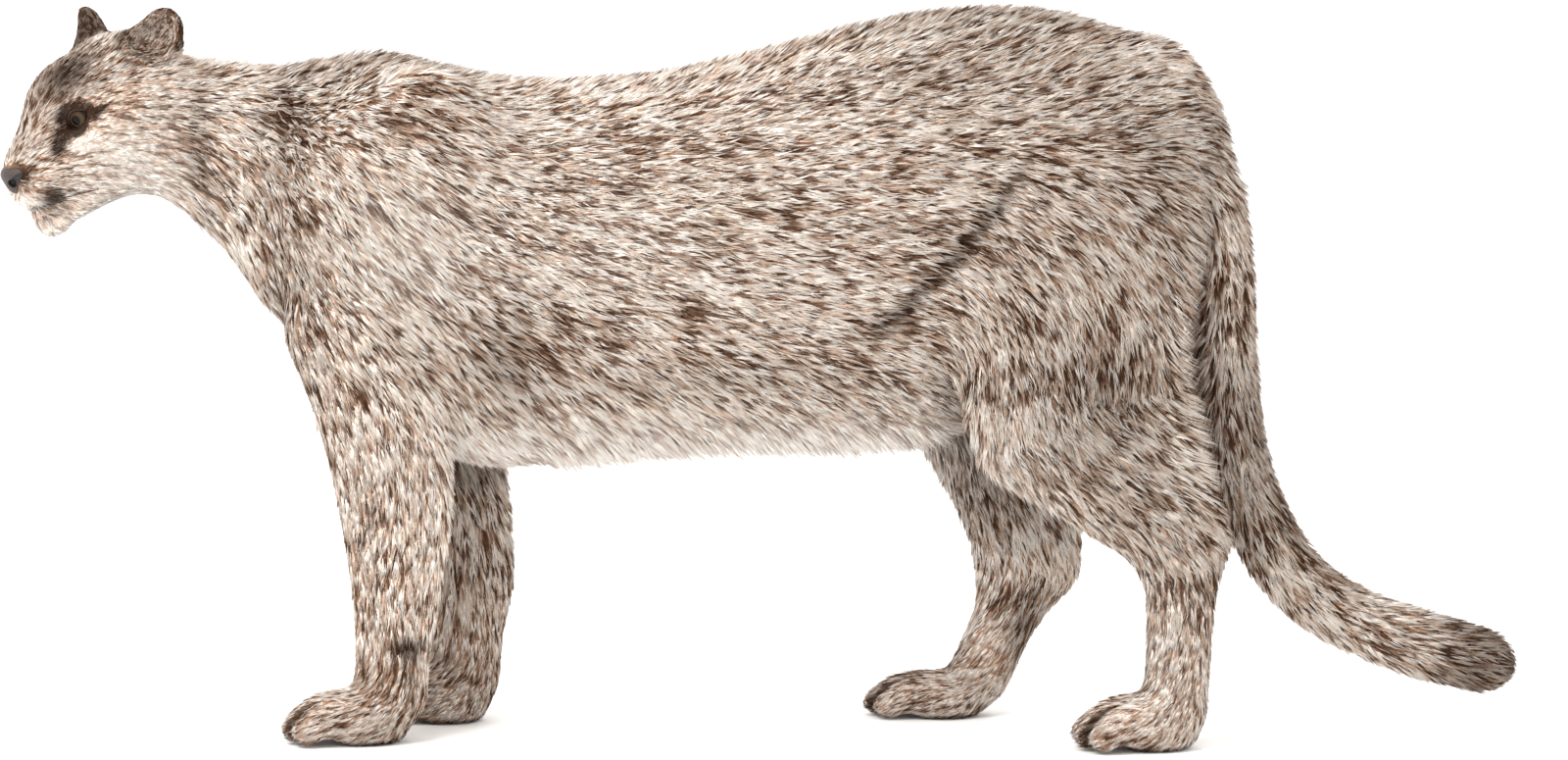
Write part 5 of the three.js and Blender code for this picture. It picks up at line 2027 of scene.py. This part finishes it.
@dataclass
class Eyes:
    """Both eyeballs and the dark rims of their lids."""

    head: Head
    rows: int = 40
    around: int = 48
    cornea_swell: float = 1.5
    cornea_angle: float = 0.7
    rim_over: float = 1.1
    rim_half_width: float = 1.1
    rim_half_height: float = 1.5

    def ball(self, side: Side) -> Draft:
        """A ball of rings round the eye's axis, with the cornea's swell in front.

        The radius is the eye's plus cornea_swell (1 - (a / cornea_angle)^2) inside the cornea, a being
        the angle from the axis, and the rings stand closer together in front.

        Args:
            side: Which eye.

        Returns:
            The ball, painted with the angle and with a place for the spokes.
        """
        axes = self.head.eye_axes(side)
        angle = np.pi * np.linspace(0.004, 0.996, self.rows) ** 1.4
        turn = np.linspace(0, 2 * np.pi, self.around, endpoint=False)
        swell = self.cornea_swell * np.maximum(1 - (angle / self.cornea_angle) ** 2, 0.0)
        radius = self.head.eye_radius + swell
        front = (radius * np.cos(angle))[:, None, None] * axes[0]
        ring = (radius * np.sin(angle))[:, None, None] * (
            np.cos(turn)[:, None] * axes[1] + np.sin(turn)[:, None] * axes[2])
        rings = self.head.world((self.head.eye_centre(side) + front + ring).reshape(-1, 3))
        rings = rings.reshape(self.rows, self.around, 3)
        if side is Side.LEFT:
            rings = rings[:, ::-1]
        draft = sleeve(rings, False)
        rank = np.concatenate([np.repeat(angle, self.around), [0.0, np.pi]])
        spin = np.concatenate([np.tile(turn, self.rows), [0.0, 0.0]])
        draft.paint = {"ring": rank, "spoke": np.stack([7 * np.cos(spin), 7 * np.sin(spin), rank], 1)}
        return draft

    def rim(self, side: Side) -> Draft:
        """The lids' rim: an oval tube along the almond of the opening, on a sphere over the eye.

        The tube is thick along the upper lid and thin along the lower one.

        Args:
            side: Which eye.

        Returns:
            The rim.
        """
        turn = np.linspace(0, 2 * np.pi, 56, endpoint=False)
        across = np.cos(turn)
        upper = np.sin(turn) >= 0
        high = np.where(upper, self.head.lid_line(across, True), self.head.lid_line(across, False))
        wide = self.head.opening_half * across
        over = self.head.eye_radius + self.rim_over
        deep = np.sqrt(np.maximum(over ** 2 - wide ** 2 - high ** 2, 4.0))
        axes = self.head.eye_axes(side)
        local = np.stack([deep, wide, high], 1)
        centre = self.head.eye_centre(side)
        path = self.head.world(centre + local @ axes)
        outward = unit(local) @ axes @ self.head.axes()
        thick = self.rim_half_width + np.where(upper, 0.9, 0.2) * np.sin(turn)
        ahead, behind = np.roll(path, -1, 0), np.roll(path, 1, 0)
        along = unit(ahead - behind)
        over_way = unit(outward - along * (outward * along).sum(1, keepdims=True))
        beside = np.cross(along, over_way)
        angle = np.linspace(0, 2 * np.pi, 10, endpoint=False)
        rings = (path[:, None] + (thick[:, None] * np.cos(angle))[..., None] * beside[:, None]
                 + self.rim_half_height * np.sin(angle)[None, :, None] * over_way[:, None])
        return sleeve(rings, True)

    def place(self, shift: Array) -> None:
        """Puts the eyeballs and rims in the scene; each eyeball replaces its plain node.

        Args:
            shift: From the maker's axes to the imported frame, in millimetres.
        """
        for side in Side:
            name = side.name.lower()
            ball = self.ball(side).place(f"eyeball_{name}", Eye(), shift)
            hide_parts(f"eye_{name}")
            self.rim(side).place(f"lid_rim_{name}", DarkRim(), shift)


@dataclass
class Nose:
    """The bare nose pad with its nostrils, in the head's frame."""

    at: Sequence[float] = (77.0, 0.0, -25.0)
    deep: float = 11.0
    half_width: float = 21.0
    half_height: float = 9.5
    step: float = 1.0

    def pad(self, q: Array) -> Array:
        """The pad's form, for points with y made positive: broad above, narrow below."""
        x, _, z = self.at
        return Union([Ellipsoid([x, 0, z + 4], [self.deep, self.half_width, self.half_height], 18),
                      Ellipsoid([x + 2, 0, z - 7], [self.deep - 2, 9, 9])], 8)(q)

    def nostril(self, q: Array) -> Array:
        """A hollow that opens forward and curls out to the side."""
        x, _, z = self.at
        return Tube([[x + self.deep - 4, 7.5, z - 2, 3.6, 4.4], [x + self.deep - 3, 12, z - 1, 3.2, 3.4],
                     [x + self.deep - 6, 18, z + 2, 2.4, 2.4], [x + self.deep - 10, 23, z + 4, 2.0, 2.0]],
                    (1, 0, 0))(q)

    def place(self, head: Head, shift: Array) -> None:
        """Puts the pad in the scene, in place of its plain node.

        Args:
            head: The head it sits on.
            shift: From the maker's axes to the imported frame, in millimetres.
        """
        def form(q: Array) -> Array:
            """The pad with nostrils and the groove down its middle."""
            one = one_sided(q)
            groove = Tube([[93, 0, -20, 0.8, 1.6], [92, 0, -30, 0.9, 2.0], [88, 0, -42, 0.9, 2.0]], (0, 1, 0))
            return carve(carve(self.pad(one), self.nostril(one), 1.5), groove(one), 0.8)
        x, _, z = self.at
        points, faces = closed_surface(form, [x - 20, -27, z - 24], [x + 20, 27, z + 22], self.step)
        inward = self.nostril(one_sided(points))
        # The hollow paint is painted shade, near black inside the nostrils
        draft = Draft(head.world(points), [faces], {"hollow": 1.0 - ramp(inward, 0.2, 1.4)})
        piece = draft.place("nose_pad", Rhinarium(), shift)
        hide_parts("nose")


@dataclass
class Mouth:
    """The dark line between the lips."""

    body: Body
    half_height: float = 1.9
    half_depth: float = 2.0
    turn: Array = field(default_factory=lambda: np.linspace(-1, 1, 81))

    def path(self) -> Array:
        """The line round the front of the muzzle from corner to corner, settled on the skin.

        It runs round an oval in plan and dips towards its corners.

        Returns:
            Points in the body's frame.
        """
        x = 22 + 54 * np.cos(self.turn * np.pi / 2) ** 0.8
        y = 46 * np.sin(self.turn * np.pi / 2)
        z = -62 + 4 * np.cos(self.turn * np.pi) - 5 * np.abs(self.turn) ** 3
        return settle(self.body.skin, self.body.head.world(np.stack([x, y, z], 1)), 4)

    def place(self, shift: Array) -> None:
        """An oval tube along the line, thinner towards the corners.

        Args:
            shift: From the maker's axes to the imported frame, in millimetres.
        """
        path = self.path()
        up = np.tile(self.body.head.axes()[2], (len(path), 1))
        thick = self.half_height - 0.8 * np.abs(self.turn) ** 3
        rings = tube_rings(path, up, thick, np.full(len(path), self.half_depth), 8)
        sleeve(rings, False).place("lips", DarkRim(), shift)


@dataclass
class Whiskers:
    """Whiskers on both pads: thin tapered bristles that bend back and down."""

    body: Body
    random: np.random.Generator
    rows: int = 3
    each: int = 5
    length: float = 50.0
    thickness: float = 0.32

    def place(self, shift: Array) -> None:
        """Rows of bristles rooted in the pads, as four-sided tubes that narrow to a point.

        Args:
            shift: From the maker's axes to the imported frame, in millimetres.
        """
        head = self.body.head
        drafts = []
        for side in Side:
            for row in range(self.rows):
                for k in range(self.each):
                    drafts.append(self.bristle(head, side, row, k))
        joined(drafts).place("whiskers", Bristle(), shift)

    def bristle(self, head: Head, side: Side, row: int, k: int) -> Draft:
        """One bristle from its root on the pad: root + way t + fall t^2.

        Args:
            head: The head.
            side: Which pad.
            row: Row on the pad, from the top.
            k: Number in the row, from the front.

        Returns:
            The bristle, painted with the share of its length.
        """
        out = -side.value
        jitter = self.random.random(4) - 0.5
        root = np.array([[68.0 - 8 * k, out * (16 + 4.6 * k), -36.0 - 6 * row]])
        root = settle(self.body.skin, head.world(root), 4)[0]
        way = np.array([0.35 - 0.22 * k + 0.1 * jitter[0], out, 0.1 - 0.16 * row + 0.12 * jitter[1]])
        way = unit(way) @ head.axes()
        fall = np.array([-0.35, 0.0, -0.22 + 0.1 * jitter[2]]) @ head.axes()
        long = self.length * (0.55 + 0.1 * k) * (1 + 0.3 * jitter[3])
        t = np.linspace(0, 1, 9)
        path = root + long * (t[:, None] * way + (t ** 2)[:, None] * fall)
        size = self.thickness * (1 - 0.9 * t)
        rings = tube_rings(path, np.tile([0.0, 0.0, 1.0], (9, 1)), size, size, 4)
        draft = sleeve(rings, False)
        draft.paint = {"along": np.concatenate([np.repeat(t, 4), [0.0, 1.0]])}
        return draft


@dataclass
class Studio:
    """Camera, floor and lights."""

    camera_at: Sequence[float] = (24.0, -3700.0, 720.0)
    look_down: float = 357.5 / 3700.0
    lens: float = 83.64
    floor_size: float = 30.0
    floor_thick: float = 0.02
    world_strength: float = 1.35
    aim_height: float = 0.42

    def camera(self, shift: Array) -> None:
        """A view of the animal's left side from 3.7 m, pitched down by the slope look_down.

        Args:
            shift: From the maker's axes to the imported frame, in millimetres.
        """
        data = bpy.data.cameras.new("camera")
        data.lens = self.lens
        data.sensor_width = 36.0
        data.sensor_fit = "HORIZONTAL"
        camera = bpy.data.objects.new("camera", data)
        camera.location = (np.asarray(self.camera_at) + shift) * MILLIMETRE
        camera.rotation_euler = (math.pi / 2 - math.atan(self.look_down), 0.0, 0.0)
        bpy.context.scene.collection.objects.link(camera)
        bpy.context.scene.camera = camera

    def floor(self) -> None:
        """A wide flat slab under the feet."""
        half = self.floor_size / 2
        corners = np.array([[x, y, z] for z in (-self.floor_thick, 0.0) for x, y in
                            ((-half, -half), (half, -half), (half, half), (-half, half))])
        faces = np.array([[3, 2, 1, 0], [4, 5, 6, 7], [0, 1, 5, 4], [1, 2, 6, 5], [2, 3, 7, 6], [3, 0, 4, 7]])
        mesh = bpy.data.meshes.new("floor")
        mesh.from_pydata(corners.tolist(), [], faces.tolist())
        mesh.materials.append(PaleFloor().material())
        floor = bpy.data.objects.new("floor", mesh)
        bpy.context.scene.collection.objects.link(floor)

    def lights(self) -> None:
        """A pale world and three soft discs, aimed at the middle of the body.

        The key stands high before the animal on the camera's side, the weak fill behind it on the
        same side, and the rim light on the far side.
        """
        world = bpy.data.worlds.new("studio")
        world.use_nodes = True
        background = world.node_tree.nodes["Background"]
        background.inputs["Color"].default_value = (1.0, 0.99, 0.98, 1.0)
        background.inputs["Strength"].default_value = self.world_strength
        bpy.context.scene.world = world
        bpy.context.scene.view_settings.view_transform = "Standard"
        for name, at, size, power in (("key", (-1.6, -2.0, 3.2), 2.0, 105.0),
                                      ("fill", (2.6, -2.4, 1.8), 2.6, 14.0),
                                      ("rim", (0.4, 2.6, 2.8), 2.4, 26.0)):
            data = bpy.data.lights.new(name, "AREA")
            data.shape = "DISK"
            data.size = size
            data.energy = power
            light = bpy.data.objects.new(name, data)
            light.location = at
            aim = np.array([0.0, 0.0, self.aim_height]) - np.asarray(at)
            light.rotation_euler = (math.atan2(math.hypot(aim[0], aim[1]), -aim[2]), 0.0,
                                    math.atan2(aim[1], aim[0]) - math.pi / 2)
            bpy.context.scene.collection.objects.link(light)


def frame_shift(head: Head) -> Array:
    """From the maker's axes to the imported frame: where the left eye's node is, less where its form is."""
    low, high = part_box("eye_left")
    centre = (np.array(low) + np.array(high)) / 2 / MILLIMETRE
    return centre - head.world(head.eye_centre(Side.LEFT)[None])[0]


def main() -> None:
    """Builds the studio, the skin, the eyes, nose, mouth and whiskers, and the coat."""
    logging.basicConfig(level=logging.INFO, format="%(message)s")
    random = np.random.default_rng(SEED)
    head = Head()
    body = Body(head)
    markings = Markings(body)
    shift = frame_shift(head)
    LOG.info("shift %s", shift)
    studio = Studio()
    studio.camera(shift)
    studio.floor()
    studio.lights()
    skin = Skin(body)
    skin.build()
    skin.place(markings, shift)
    Eyes(head).place(shift)
    Nose().place(head, shift)
    Mouth(body).place(shift)
    Whiskers(body, random).place(shift)
    Coat(body, skin, markings, random).pieces(shift)


if __name__ == "__main__":
    main()
